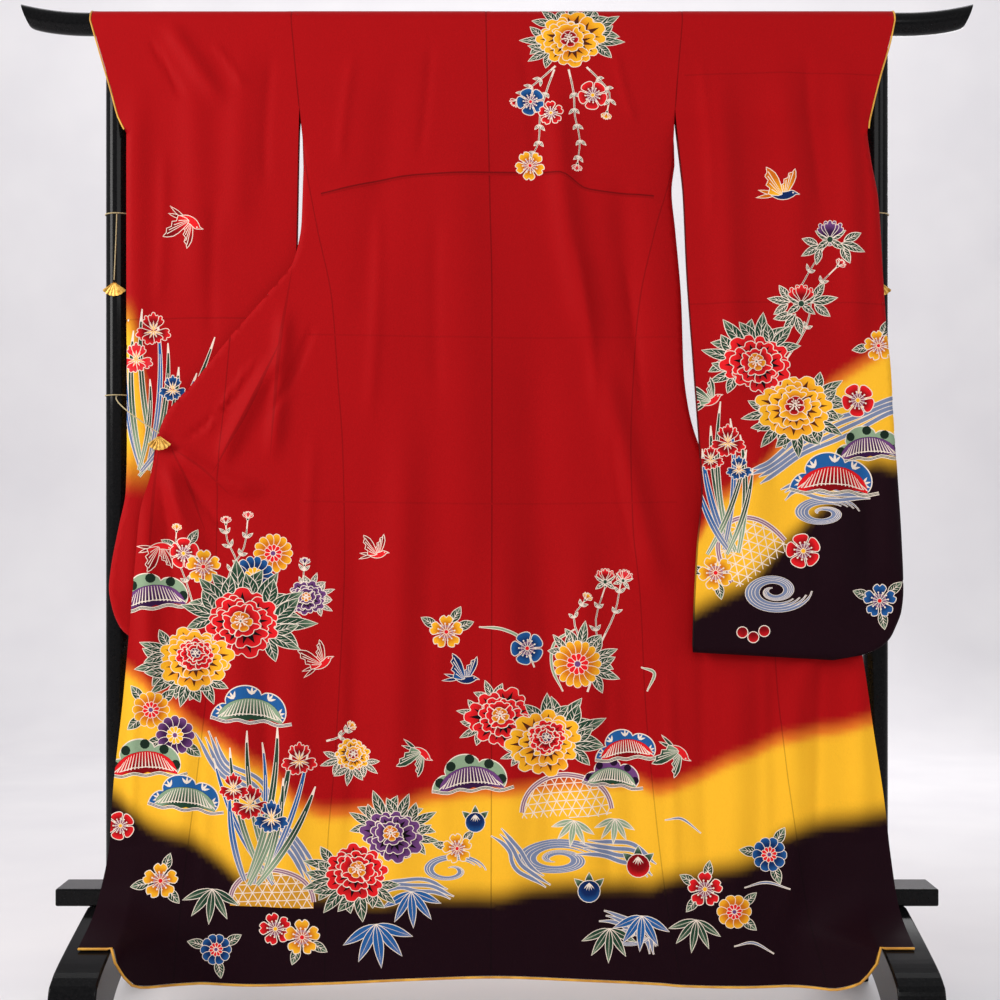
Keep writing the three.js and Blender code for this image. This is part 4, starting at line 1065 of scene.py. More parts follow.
def bamboo(radius, dye, tip):
    """Bamboo grass: five narrow leaves that hang in a fan."""
    made = []
    for lean in outer_first(5):
        made += put(leaf(radius * (1 - 0.06 * abs(lean)), radius * 0.24, dye, tip, 0, 1.2)
                    + [stroke([0, radius * 0.8], [1.0, 0.3])], 0, -90 + lean * 32)
    return made


def blade(length, width, bow, dye, tip):
    """A tall grass blade that bends as it rises."""
    path = bent(0, length, bow, 14)
    shape = np.sin(np.linspace(0.5, math.pi, 14)) ** 0.7
    return [stroke(path, width * shape + 2.0),
            field(ribbon(path[:-1], width * shape[:-1]), dye, (length, length * 0.9, tip)),
            stroke(path[:-3], 0.9)]


def iris(size, kind):
    """Three petals that stand and three that fall, each with a yellow streak."""
    dye, deep = PETALS[kind]
    made = []
    for turn, long, wide in ((118, 0.95, 0.4), (62, 0.95, 0.4), (90, 1.05, 0.42), (196, 1.0, 0.5),
                             (-16, 1.0, 0.5), (-62, 0.75, 0.44), (-118, 0.85, 0.5)):
        length = size * long
        made += put(edged(frilled(length, size * wide * 1.3), dye, (0, length, deep), 1.1)
                    + [field(flame(length * 0.55, size * 0.1), CREAM),
                       field(flame(length * 0.45, size * 0.05), YELLOW)], 0, turn)
    return made


def bud(size, kind, leaves=True):
    """A half-open flower on its cup."""
    dye, deep = PETALS[kind]
    made = []
    if leaves:
        for turn in (150, 30, 215, -35):
            made += put(leaf(size * 1.05, size * 0.42, SAGE, GREEN, 2), 0, turn)
    for turn in (-34, 34, -14, 14, 0):
        made += put(edged(frilled(size * 1.15, size * 0.62), dye, (0, size, deep), 1.0), 0, 90 + turn)
    return made + edged(disc(size * 0.2, 0.02j * size), GREEN, None, 0.8)


def sprig(path, kind):
    """A stalk with small leaves in pairs and a bud at its end."""
    size = 13
    path = curved(path, 3, closed=False)
    made = [stroke(path, np.linspace(3.4, 2.2, len(path))), stroke(path[1:-1], 1.1, GREEN)]
    for k in range(3, len(path) - 1, 2):
        along = path[k] - path[k - 1]
        angle = math.degrees(math.atan2(along.imag, along.real))
        for way in (42, -42):
            made += put(leaf(size * random.uniform(0.9, 1.2), size * 0.45, SAGE, GREEN, 1, 1.0),
                        path[k], angle + way)
    end = path[-1] - path[-3]
    turn = math.degrees(math.atan2(end.imag, end.real)) - 90
    return made + put(bud(12, kind, False), path[-1], turn)


def fruit(radius, kind):
    """A round citrus with rays at its crown and leaves behind."""
    dye, deep = PETALS[kind]
    made = []
    for turn in (140, 90, 40):
        made += put(leaf(radius * 1.7, radius * 0.8, SAGE, GREEN, 0), 0, turn)
    made += edged(disc(radius, 0, 18), dye, (radius * 0.3j, radius * 1.4, deep), 1.2)
    for turn in (50, 70, 90, 110, 130):
        made += put([field(flame(radius * 0.7, 2.0), CREAM)], radius * 0.75j, turn - 180)
    return made


print("fields in a bud:", len(bud(20, "red")))

# %% Pine, water, baskets and birds
def pine(radius, kind, band):
    """A pine branch as a cloud of five lobes, with a comb of needles hanging under it."""
    body, deep = PETALS[kind]
    a = np.linspace(0, math.pi, 51)
    edge = radius * (0.78 + 0.22 * abs(np.sin(2.5 * a)) ** 0.6) * np.exp(1j * a)
    edge = edge.real + 0.94j * edge.imag
    base = radius * np.array([-0.7 - 0.02j, -0.45 + 0.06j, -0.2 - 0.01j, 0.05 + 0.07j, 0.3 + 0.0j,
                              0.52 + 0.06j])
    made = edged(np.concatenate([edge, base]), body, None, 1.8)
    for k in range(5):
        way = turned(18 + 36 * k)
        lobe = radius * complex(way.real * 0.8, way.imag * 0.76)
        if kind == "blue":
            spark = [field(flame(radius * 0.2, radius * 0.06), CREAM)]
            for lean in (-40, 0, 40):
                made += put(spark, lobe * 0.9, 18 + 36 * k + lean)
        else:
            made.append(field(disc(radius * 0.125, lobe * 1.02, 10),
                              mix(np.array(deep), np.array(INK), 0.6)))
    comb = np.concatenate([radius * (0.82 * np.cos(a[::4]) + 0.6j * np.sin(a[::4])), base])
    made += edged(comb, PETALS[band][0], (0, radius * 0.7, PETALS[band][1]), 0.6, PETALS[band][1])
    for k in range(-9, 10):
        x = 0.083 * k
        top = radius * complex(x * 0.8, 0.56 * math.sqrt(max(1 - (x / 0.82) ** 2, 0)) + 0.01)
        foot = radius * complex(x * 1.08, 0.03 + 0.16 * (1 - abs(x)))
        made.append(stroke([top, foot], [0.8, 2.0]))
    tie = radius * np.array([-0.66 + 0.09j, -0.3 + 0.19j, 0.02 + 0.2j, 0.34 + 0.18j, 0.68 + 0.09j])
    made.append(stroke(tie, 1.4))
    twig = curved(radius * np.array([-0.98 + 0.05j, -0.6 - 0.03j, -0.3 + 0.04j, 0.0 - 0.02j,
                                     0.35 + 0.04j, 0.7 - 0.05j, 1.06 + 0.02j]), 3, closed=False)
    bark = GREEN if band != "sage" else deep
    return made + [stroke(twig, 5.6), stroke(twig, 3.0, bark), stroke(twig, 0.8)]


def strand(path, width, dye=SLATE):
    """One strand of water between two lines of resist, tapered at both ends."""
    steps = np.arange(len(path))
    taper = np.clip(np.minimum(steps, steps[::-1]) / 5, 0.12, 1)
    return [stroke(path, width * taper + 2.2), stroke(path, width * taper, dye)]


def stream(points, strands, width, gap):
    """Strands of water that run side by side in a slight wave, some longer than others."""
    path = curved(points, 10, closed=False)
    along = np.gradient(path)
    side = 1j * along / abs(along)
    t = np.linspace(0, 1, len(path))
    made = []
    for k in range(strands):
        off = (k - (strands - 1) / 2) * gap + 3 * np.sin(2 * math.pi * (1.6 * t + 0.13 * k))
        first, last = (0, 2, 1, 3)[k], (1, 0, 3, 2)[k]
        made += strand((path + side * off)[first:len(path) - last], width)
    return made


def whirl(radius, turns, strands, squash, lean=0, flip=False):
    """An eddy: strands that wind in to a curl."""
    t = np.linspace(0, 1, int(34 * turns))
    made = []
    for k in range(strands):
        reach = radius * (1 - 0.13 * k) * (1 - 0.86 * t ** 0.9)
        path = reach * np.exp(2j * math.pi * (turns * t + 0.03 * k))
        made += strand(path[: len(path) - 3 * k], radius * 0.1)
    return put(made, 0, lean, squash, flip=flip)


def basket(width, height, dye=None):
    """The dome of a split-bamboo basket: a three-way lattice under a rim."""
    pitch = 14
    a = np.linspace(0, math.pi, 30)
    dome = width / 2 * np.cos(a) + 1j * height * np.sin(a) ** 0.8
    made = [field(dome, dye)] if dye is not None else []
    corners = np.column_stack([dome.real, dome.imag])
    for turn in (0, 60, 120):
        way = turned(turn + 4)
        for k in range(-9, 10):
            line = 1j * way * k * pitch + 0.4j * height + way * np.linspace(-width, width, 90)
            held = line[inside(corners, np.column_stack([line.real, line.imag]))]
            if len(held) > 4:
                made.append(stroke(held[[0, len(held) // 2, -1]], 1.5))
    rim = dome[1:-1]
    return made + [stroke(rim, 9.0), stroke(rim, 6.0, MAUVE), stroke(rim, 0.9)]


def wing(length, width, dye, deep):
    """A wing with four long feathers parted by lines of resist."""
    outline = curved(length * np.array([0, 0.3 + 0.1j, 0.7 + 0.13j, 1.0 + 0.0j, 0.84 - 0.06j,
                                        0.76 - 0.16j, 0.6 - 0.14j, 0.5 - 0.25j, 0.36 - 0.2j,
                                        0.24 - 0.3j, 0.1 - 0.2j]), 2)
    outline = outline.real + 1j * outline.imag * width / length / 0.4
    made = edged(outline, dye, (length, length, deep), 1.2)
    for start, end in ((0.05, 0.84 - 0.02j), (0.02 - 0.02j, 0.72 - 0.1j), (0.02 - 0.04j, 0.5 - 0.16j),
                       (0.0 - 0.04j, 0.3 - 0.2j)):
        made.append(stroke([length * complex(start), length * complex(end)], [0.5, 1.4]))
    return made


def bird(span, kind, body):
    """A swallow in flight: wings thrown up, a forked tail."""
    dye, deep = PETALS[kind]
    made = []
    for turn, long in ((170, 0.6), (192, 0.66)):
        made += put(leaf(span * long, span * 0.13, dye, deep, 0, 1.0), -0.1 * span, turn)
    made += put(wing(span * 0.86, span * 0.36, dye, deep), 0.16 * span, 74, flip=True)
    trunk = curved(span * np.array([0.58 + 0.03j, 0.44 + 0.11j, 0.32 + 0.15j, 0.16 + 0.1j,
                                    -0.16 + 0.06j, -0.3 - 0.02j, -0.06 - 0.15j, 0.2 - 0.15j,
                                    0.38 - 0.06j, 0.46 + 0.01j]), 3)
    made += edged(trunk, PETALS[body][0], (0.1 * span, span * 0.5, PETALS[body][1]), 1.1)
    made += put(wing(span * 1.0, span * 0.48, dye, deep), 0.06 * span, 122, flip=True)
    made.append(field(disc(span * 0.028, span * (0.37 + 0.07j), 5), CREAM))
    return made


print("fields in a pine cloud:", len(pine(60, "sage", "purple")))

# %% [markdown]
# ## The design on the kimono
# The motifs are laid out as on formal furisode: dense at the hem and on the sleeves, thinning
# upwards to one spray on the shoulder. The list runs from the back of the drawing to the front,
# because a later shape covers an earlier one, as masking does in dyeing.

# %% Sprays of leaves and flowers
def with_leaves(flower, radius, leaves):
    """A flower over lobed leaves; `leaves` holds (direction, length) pairs."""
    made = []
    for turn, length in leaves:
        lobes = 5 if turn % 2 else 3
        made += put(lobed_leaf(length, lobes), radius * 0.62 * turned(turn), turn)
    return made + flower


def small_leaves(radius, turns):
    """Single leaves that look out from under a flower, each in its direction."""
    made = []
    for turn in turns:
        made += put(leaf(radius * 1.15, radius * 0.6), radius * 0.6 * turned(turn), turn)
    return made


def blades(root, tops, width=9.0):
    """Grass blades from near one root to each of the tops."""
    made = []
    for k, top in enumerate(tops):
        start = root + complex(random.uniform(-26, 26), random.uniform(-8, 8))
        rise = complex(top) - start
        angle = math.degrees(math.atan2(rise.imag, rise.real))
        bow = 0.05 if rise.real < 0 else -0.05
        dye, tip = (SAGE, GREEN) if k % 3 else (SLATE, BLUE)
        made += put(blade(abs(rise), width * random.uniform(0.8, 1.15), bow, dye, tip), start, angle)
    return made


def laid(rows):
    """The shapes of all rows: drawings in their place, or (drawing, place, turn, squash, flip)."""
    return [shape for row in rows for shape in (put(*row) if isinstance(row, tuple) else row)]


# %% Painted shadow along the seams, the tuck and the creases of storage
CLOSE, CLOSER = 12, 9  # steps along a line of shade, short so that it follows the folds


def shade(line, width, share):
    """A line where the cloth turns in: the ground there is in shadow."""
    return stroke(line[:, 0] + 1j * line[:, 1], width, lambda ground: ground * share)


SHADES = {"centre": (2.2, 0.6), "side": (2.0, 0.7), "okumi": (2.0, 0.68), "sleeve": (2.2, 0.55),
          "collar": (4, 0.45)}  # the width of each seam's shadow, and the light left in it
TUCK = line_through([[-292, 1386], [-215, 1404], [-129, 1419], [-29, 1423], [101, 1424],
                     [151, 1398], [262, 1386]], CLOSER)
shoulder = [shade(up_table(CENTRE, 80, TOP, CLOSE), *SHADES["centre"])]
for side in ("left", "right"):
    shoulder += [shade(up_table(SIDE[side], 76, BAR_Z + 30, CLOSE), *SHADES["side"]),
                 shade(up_table(OKUMI[side], 76, CROSS[side], CLOSE), *SHADES["okumi"])]
shoulder += [shade(TUCK, 2.6, 0.5), shade(TUCK - [0, 3], 3.4, 0.82)]
shoulder += [shade(line_through([[-320, z + 4], [0, z], [300, z + 3]], CLOSER), 3, 0.9)
             for z in (1148, 872)]


def crease(corners, width, share):
    """The shadow in a sharp fold, which starts and ends in nothing."""
    line = line_through(corners, CLOSER)
    return shade(line, width * np.sin(np.linspace(0.06, math.pi - 0.06, len(line))), share)


# the drawn-out front: where it is pulled towards the tie, and below the tie
shoulder += [crease([[-338, 1266], [-356, 1150], [-374, 952]], 6, 0.78),
             crease([[-352, 1150], [-408, 1034], [-470, 922]], 6, 0.74),
             crease([[-548, 984], [-516, 918], [-482, 826]], 5, 0.8),
             crease([[-557, 978], [-567, 890], [-574, 770]], 5, 0.8),
             crease([[-540, 966], [-486, 930], [-438, 884]], 4, 0.84)]
print("lines of shade on the body:", len(shoulder))

# %% The shoulder
shoulder += laid([
    sprig([98 + 1606j, 74 + 1584j, 52 + 1566j, 34 + 1548j], "red"),
    sprig([96 + 1600j, 82 + 1560j, 72 + 1520j, 70 + 1478j, 58 + 1452j], "yellow"),
    sprig([120 + 1600j, 128 + 1560j, 130 + 1520j, 138 + 1480j, 134 + 1440j], "pink"),
    sprig([150 + 1604j, 168 + 1586j, 188 + 1560j, 184 + 1528j], "yellow"),
    (with_leaves(peony(62, "yellow", "red", BROWN), 62,
                 [(20, 62), (-14, 56), (52, 58), (168, 48), (200, 46), (110, 52)]),
     122 + 1650j, 12, 0.82),
    (blossom(24, "blue", 0, "red"), 56 + 1545j, 168),
    (blossom(21, "red", 0.1), 90 + 1524j, 147),
    (blossom(25, "red"), 160 + 1556j, 175),
    (blossom(25, "yellow", 0.12, "red"), 55 + 1436j, 175)])
print("shapes above the waist:", len(shoulder))

# %% The skirt, left side
skirt = laid([
    stream([-486 + 500j, -455 + 440j, -404 + 408j, -372 + 350j, -330 + 300j, -300 + 250j],
           4, 5.5, 9),
    (whirl(60, 1.3, 3, 0.5), -78 + 266j),
    stream([-190 + 236j, -150 + 246j, -112 + 238j, -70 + 226j], 3, 5, 8),
    (basket(138, 62, srgb(214, 150, 40)), -372 + 206j, -2),
    blades(-392 + 250j, [-468 + 452j, -440 + 470j, -412 + 498j, -388 + 478j, -362 + 505j,
                         -338 + 470j, -312 + 462j, -352 + 420j, -300 + 405j, -440 + 400j]),
    (iris(30, "red"), -326 + 448j), (iris(32, "red"), -407 + 376j),
    (iris(30, "blue"), -372 + 352j), (iris(26, "red"), -434 + 402j),
    (bamboo(60, SAGE, GREEN), -470 + 236j, random.uniform(-8, 8)),
    (bamboo(62, SLATE, BLUE), -142 + 232j, random.uniform(-8, 8)),
    (bamboo(74, SLATE, BLUE), -200 + 178j, random.uniform(-8, 8)),
    sprig([-452 + 712j, -440 + 760j, -418 + 800j, -412 + 846j], "pink"),
    sprig([-430 + 720j, -428 + 770j, -446 + 812j, -448 + 838j], "red"),
    sprig([-500 + 700j, -512 + 742j, -530 + 790j, -528 + 826j], "yellow"),
    sprig([-340 + 690j, -322 + 740j, -318 + 770j], "purple"),
    sprig([-282 + 480j, -262 + 486j, -246 + 500j], "yellow"),
    (small_leaves(26, (60, 150, -30)) + blossom(26, "red"), -516 + 790j),
    (blossom(28, "yellow", 0.12, "red"), -484 + 768j),
    (chrysanthemum(33, "yellow"), -370 + 790j),
    (small_leaves(30, (200, 250)) + chrysanthemum(34, "blue", core="yellow"), -402 + 752j),
    (with_leaves(peony(34, "purple"), 34, [(20, 30), (70, 32), (-30, 30)]),
     -315 + 716j, 0, 0.86),
    (pine(64, "sage", "purple"), -566 + 700j, 6),
    (with_leaves(peony(72, "red", "yellow"), 72,
                 [(75, 84), (108, 72), (140, 66), (40, 74), (12, 76), (-20, 82), (-48, 66)]),
     -420 + 674j, 20, 0.84),
    (with_leaves(peony(66, "yellow", "red", BROWN), 66,
                 [(200, 62), (232, 60), (168, 56), (-62, 56), (265, 58)]),
     -500 + 616j, -8, 0.84),
    (peony(34, "red", "purple", DEEP_RED), -496 + 624j, 30, 0.86),
    (pine(66, "blue", "sage"), -408 + 512j, -4),
    (small_leaves(30, (40, 130, 220, -40)) + chrysanthemum(31, "yellow", 12), -571 + 532j),
    (small_leaves(32, (200, 320)) + chrysanthemum(33, "purple", 12, "yellow"), -531 + 490j),
    (pine(66, "sage", "red"), -580 + 424j, 2),
    (pine(62, "blue", "sage"), -516 + 368j, -6),
    (blossom(24, "red"), -622 + 340j, 20),
    (small_leaves(28, (70, 190, 310)) + blossom(29, "yellow", 0.12, "red"), -555 + 250j),
    (small_leaves(28, (30, 160, 280)) + chrysanthemum(26, "blue", 10), -464 + 136j),
    (with_leaves(peony(34, "yellow", "red", BROWN), 34, [(200, 38), (260, 40), (-40, 34)]),
     -238 + 456j, 0, 0.86),
    (with_leaves(peony(54, "purple"), 54,
                 [(100, 58), (60, 52), (20, 54), (140, 50), (-20, 48)]),
     -174 + 326j, 10, 0.86),
    (with_leaves(peony(60, "red", "yellow"), 60,
                 [(180, 56), (215, 60), (250, 62), (290, 64), (330, 54)]),
     -232 + 264j, -14, 0.84),
    (blossom(27, "red", 0.12), -366 + 170j, 15),
    (small_leaves(28, (250, 330)) + blossom(30, "yellow", 0.12, "red"), -322 + 156j),
    (small_leaves(24, (160, 40)) + blossom(25, "yellow", 0.12, "red"), -66 + 302j, 8),
    (fruit(17, "blue"), -36 + 345j),
    (bird(46, "red", "pink"), -560 + 800j, 8, 1, True),
    (bird(46, "red", "pink"), -292 + 606j, 28),
    (bird(40, "red", "pink"), -200 + 788j, 4),
    (bird(46, "sage", "pink"), -128 + 462j, -30, 1, True),
    (bird(48, "blue", "blue"), -56 + 582j, -6)])
print("shapes on the left of the skirt:", len(skirt))

# %% The skirt, right side
skirt += laid([
    *(strand(curved(path, 8, closed=False), 3.2, SAGE)
      for path in ([-30 + 668j, 10 + 664j, 44 + 644j, 62 + 600j],
                   [110 + 560j, 92 + 600j, 96 + 640j, 130 + 664j],
                   [250 + 560j, 262 + 590j, 240 + 600j])),
    sprig([150 + 560j, 168 + 620j, 164 + 680j, 180 + 734j], "red"),
    sprig([172 + 640j, 196 + 690j, 206 + 740j], "pink"),
    sprig([140 + 640j, 128 + 682j, 146 + 712j], "yellow"),
    (basket(150, 70), 116 + 352j, 2),
    (whirl(86, 1.7, 4, 0.42), 100 + 284j),
    stream([130 + 306j, 190 + 300j, 232 + 286j, 262 + 262j], 4, 6, 9),
    stream([-4 + 330j, 30 + 300j, 44 + 268j, 90 + 244j], 3, 5.5, 9),
    stream([170 + 190j, 214 + 180j, 246 + 160j, 262 + 128j], 3, 5, 8),
    (whirl(40, 1.2, 3, 0.5, 0, True), 214 + 158j),
    (bamboo(46, CREAM, SAGE), 128 + 348j, random.uniform(-10, 10)),
    (bamboo(44, CREAM, SAGE), 196 + 350j, random.uniform(-10, 10)),
    (bamboo(58, SAGE, GREEN), 186 + 170j, random.uniform(-10, 10)),
    (bamboo(60, SLATE, BLUE), 240 + 190j, random.uniform(-10, 10)),
    (bamboo(56, SAGE, GREEN), 330 + 184j, random.uniform(-10, 10)),
    (pine(66, "sage", "purple"), -42 + 398j, 4),
    (pine(50, "purple", "sage"), 190 + 404j, -6),
    (pine(54, "blue", "red"), 216 + 448j, 4),
    (with_leaves(chrysanthemum(40, "yellow", 16), 40,
                 [(80, 50), (20, 48), (-20, 52), (130, 40)]), 134 + 606j),
    (with_leaves(peony(58, "red", "yellow"), 58, [(160, 40), (200, 44), (100, 42)]),
     6 + 518j, 10, 0.86),
    (with_leaves(peony(66, "yellow", "red", BROWN), 66,
                 [(40, 70), (10, 74), (72, 60), (-20, 60), (185, 40)]), 80 + 474j, 16, 0.84),
    (peony(34, "red", "purple", DEEP_RED), 84 + 482j, 40, 0.86),
    (small_leaves(28, (150, 60, 20)) + blossom(28, "yellow", 0.12, "red"), -84 + 660j),
    (blossom(28, "blue", 0, "red"), 50 + 632j, 18),
    (bud(20, "red"), 180 + 742j),
    (bud(17, "pink"), 210 + 744j, -18),
    (fruit(20, "red"), 234 + 272j),
    (fruit(19, "blue"), 152 + 232j),
    (small_leaves(30, (60, 170, 290)) + chrysanthemum(29, "blue", 10), 450 + 292j),
    (small_leaves(28, (80, 150, 230)) + blossom(29, "red", 0.1), 344 + 234j),
    (small_leaves(28, (320, 40)) + chrysanthemum(29, "yellow", 10), 392 + 198j),
    *(strand(curved(path, 6, closed=False), 2.6, SLATE)
      for path in ([278 + 348j, 306 + 350j, 338 + 326j], [408 + 238j, 446 + 246j, 484 + 236j],
                   [392 + 140j, 424 + 146j, 458 + 128j])),
    (bird(50, "sage", "pink"), 300 + 462j, -34, 1, True)])
print("shapes on the whole skirt:", len(skirt))

# %% The left sleeve
left_sleeve = [shade(line_through([[-618, 1178], [-480, 1182], [-338, 1180]], CLOSER), 2.6, 0.8),
               shade(up_table(SIDE["left"], 1535, BAR_Z + 30, CLOSE), *SHADES["sleeve"])]
left_sleeve += laid([
    blades(-585 + 925j, [-618 + 1120j, -604 + 1160j, -590 + 1196j, -566 + 1180j,
                         -548 + 1140j, -470 + 1150j, -500 + 1090j, -530 + 1100j,
                         -578 + 1080j], 8),
    (iris(30, "red"), -572 + 1160j), (iris(28, "pink"), -600 + 1112j),
    (iris(24, "blue"), -540 + 1062j),
    (bird(52, "red", "pink"), -514 + 1344j, -28, 1, True)])
print("shapes on the left sleeve:", len(left_sleeve))

# %% The right sleeve
right_sleeve = [shade(line_through([[314, z], [480, z + 4], [640, z]], CLOSER), 2.6, 0.85)
                for z in (1590, 1200)]
right_sleeve += [shade(up_table(SIDE["right"], 1535, BAR_Z + 30, CLOSE), *SHADES["sleeve"])]
berry = edged(disc(10, 0, 14), RED, (3j, 14, DEEP_RED), 1.4)
right_sleeve += laid([
    stream([700 + 1046j, 650 + 1034j, 600 + 1010j, 552 + 992j, 500 + 968j, 452 + 930j,
            420 + 912j], 4, 6, 9),
    (whirl(60, 1.5, 4, 0.5, 6), 536 + 856j),
    stream([470 + 884j, 500 + 900j, 560 + 884j, 620 + 890j], 3, 5, 8),
    (whirl(62, 1.7, 4, 0.62, 0, True), 456 + 728j),
    (basket(112, 96), 440 + 764j, 38),
    blades(372 + 790j, [338 + 962j, 352 + 1000j, 368 + 1040j, 384 + 1012j,
                        400 + 985j, 410 + 960j, 330 + 905j, 420 + 930j], 8.5),
    (iris(30, "red"), 380 + 972j), (iris(22, "blue"), 398 + 928j),
    (iris(22, "red"), 352 + 944j),
    sprig([452 + 1120j, 478 + 1168j, 500 + 1230j, 540 + 1296j], "purple"),
    sprig([470 + 1100j, 508 + 1160j, 522 + 1220j, 560 + 1262j], "red"),
    (with_leaves(bud(28, "purple"), 28, [(-20, 44), (210, 40)]), 548 + 1306j),
    (with_leaves(bud(28, "red"), 28, [(10, 46), (170, 40), (240, 44)]), 500 + 1200j),
    (with_leaves(peony(60, "red", "yellow"), 60,
                 [(110, 66), (70, 64), (150, 60), (190, 52), (38, 58)]),
     428 + 1102j, 14, 0.86),
    (with_leaves(peony(66, "yellow", "red", BROWN), 66,
                 [(40, 56), (200, 52), (240, 58), (280, 60), (330, 56), (10, 50)]),
     490 + 1030j, -6, 0.84),
    (small_leaves(26, (60, 180)) + blossom(25, "yellow", 0.12, "red"), 628 + 1132j, 10),
    (blossom(28, "red"), 594 + 1042j, 30),
    (pine(60, "sage", "purple"), 612 + 946j, 4),
    (pine(72, "blue", "red"), 552 + 890j, -2),
    (blossom(29, "red"), 504 + 794j, 12),
    (small_leaves(26, (150, 260)) + blossom(29, "yellow", 0.12, "red"), 360 + 758j, 22),
    (small_leaves(28, (40, 160, 280)) + blossom(28, "blue", 0.12, "red"), 630 + 712j),
    *((berry, at) for at in (404 + 660j, 422 + 652j, 440 + 662j)),
    (bird(54, "yellow", "blue"), 466 + 1380j, -4),
    (bird(44, "sage", "pink"), 350 + 1040j, 24)])

# the motifs, with the painted shadows of seams, tuck and creases laid first, under them
DESIGN_AND_SHADOWS = {"skirt": shoulder + skirt, "left_sleeve": left_sleeve, "right_sleeve": right_sleeve}
print("shapes:", {name: len(shapes) for name, shapes in DESIGN_AND_SHADOWS.items()},
      "corners:", sum(len(s[0]) for shapes in DESIGN_AND_SHADOWS.values() for s in shapes))

# %% [markdown]
# ## The outlines of the pieces
# Each piece is cut along the seams that a maker would sew. Two pieces share the points of their
# seam, so they meet edge to edge. Every panel has a layer towards the viewer and one behind,
# because the body passes over the bar and the fronts turn back at a fold.

# %% Outlines in (x, v)
NECK = {"left": -107.9, "right": 71.6}  # the collar seam on the bar
UP = np.linspace(BAR_Z, TOP, 5)


def hem_crossing(table):
    """The height at which a (z, x) line meets the hem."""
    z = 90.0
    for _ in range(20):
        z = float(read(HEM, read(table, z)))
    return z


def along_hem(x0, x1):
    x = np.linspace(x0, x1, max(int(abs(x1 - x0) / 9), 2) + 1)
    return np.column_stack([x, read(HEM, x)])


def level(x0, x1, v):
    """Points straight across, at one height."""
    x = np.linspace(x0, x1, max(int(abs(x1 - x0) / 10), 2) + 1)
    return np.column_stack([x, np.full(len(x), v)])


def straight_up(x, down=False):
    """Points up, or down, over the near half of the bar."""
    return np.column_stack([np.full(len(UP), x), UP[::-1] if down else UP])


def loop(*lines):
    """One closed outline from its lines, anticlockwise, as the triangulation wants it."""
    points = np.vstack(lines)
    step = np.hypot(*(points - np.roll(points, 1, axis=0)).T)
    points = points[step > 0.6]
    x, z = points.T
    if np.sum(x * np.roll(z, -1) - np.roll(x, -1) * z) < 0:
        points = points[::-1]
    return points


def seam_lines(side):
    """The lines that this side's pieces share."""
    okumi_low = hem_crossing(OKUMI[side])
    return {
        "okumi": up_table(OKUMI[side], okumi_low, CROSS[side]),
        "okumi_back": line_through(OKUMI_BACK[side]),
        "edge": up_table(EDGE[side], 168, TIE[side]),
        "tip": up_table(FOLD[side], TIE[side], CROSS[side]),
        "fold": up_table(FOLD[side], CROSS[side], OPEN_TOP[side]),
        "armhole": up_table(SIDE[side], ARMHOLE, BAR_Z),
        "centre": up_table(CENTRE, hem_crossing(CENTRE), BAR_Z),
        "collar_low": line_through(COLLAR_EDGE[side]),
        "collar_high": line_through(COLLAR_TOP[side])}


SEAMS = {side: seam_lines(side) for side in ("left", "right")}


def body_outlines(side):
    s = SEAMS[side]
    shoulder = SIDE[side][-1][1]
    near = loop(along_hem(s["centre"][0, 0], s["okumi"][0, 0]), s["okumi"], s["fold"], s["armhole"],
                straight_up(shoulder), level(shoulder, NECK_X, TOP), straight_up(NECK_X, True),
                s["centre"][::-1])
    far = loop(s["okumi_back"], s["collar_high"], straight_up(NECK[side]),
               level(NECK[side], shoulder, TOP), straight_up(shoulder, True),
               s["armhole"][::-1], s["fold"][::-1])
    return near, far


def okumi_outlines(side):
    s = SEAMS[side]
    near = loop(along_hem(s["okumi"][0, 0], s["edge"][0, 0]), s["edge"], s["tip"], s["okumi"][::-1])
    far = loop(s["tip"], s["okumi_back"], s["collar_low"][::-1])
    return near, far


def sleeve_outlines(side):
    low, high = SLEEVE_BOTTOM[side]
    inner = np.vstack([up_table(SLEEVE_INNER[side], low[1], 1535),
                       up_table(SIDE[side], 1545, BAR_Z)])  # the last stretch is the armhole seam
    outer = up_table(SLEEVE_OUTER[side], high[1], CUFF_BOTTOM, 7)
    cuff = up_table(SLEEVE_OUTER[side], CUFF_BOTTOM, BAR_Z)
    far_x = math.copysign(FAR_CUFF_X, high[0])
    behind = np.array([[far_x, z] for z in np.linspace(CUFF_BOTTOM + 4, FAR_CUFF_TOP, 16)]
                      + [[cuff[-1, 0], BAR_Z]])
    bottom = line_through([low, high])
    over = (straight_up(cuff[-1, 0]), level(cuff[-1, 0], inner[-1, 0], TOP),
            straight_up(inner[-1, 0], True))
    near = loop(bottom, outer, cuff, *over, inner[::-1])
    far = loop(bottom, outer, behind, *over, inner[::-1])
    return near, far


def beside(line, by):
    """A line moved sideways, to its left as one walks along it."""
    along = np.gradient(line, axis=0)
    along /= np.hypot(*along.T)[:, None]
    return line + np.asarray(by)[:, None] * np.column_stack([-along[:, 1], along[:, 0]])


def collar_outline():
    """A band from one tie round the back of the neck to the other, narrow where it is pinned."""
    arms = {}
    for side, turn in (("left", -1), ("right", 1)):
        outer = np.vstack([SEAMS[side]["collar_low"], SEAMS[side]["collar_high"][1:]])
        width = 8 + 42 * smooth(run_along(outer) / 110)
        arms[side] = outer, beside(outer, turn * width)[:-1]
    return loop(arms["left"][0], straight_up(NECK["left"]),
                level(NECK["left"], NECK["right"], TOP), straight_up(NECK["right"], True),
                arms["right"][0][::-1], arms["right"][1],
                np.array([[20, 1637], [8, 1640.4], [-18, 1641], [-44, 1640.4], [-57, 1637]]),
                arms["left"][1][::-1])


def collar_depth(x, z):
    return np.where(x < NECK_X, body_far("left", x, z), body_far("right", x, z))


# %% [markdown]
# ## Sewing the cloth
# The panels are made now.

# %% Body, overlap panels, sleeves and collar
def panel(side, layer_name):
    return lambda x, z: (body_near if layer_name == "near" else body_far)(side, x, z)


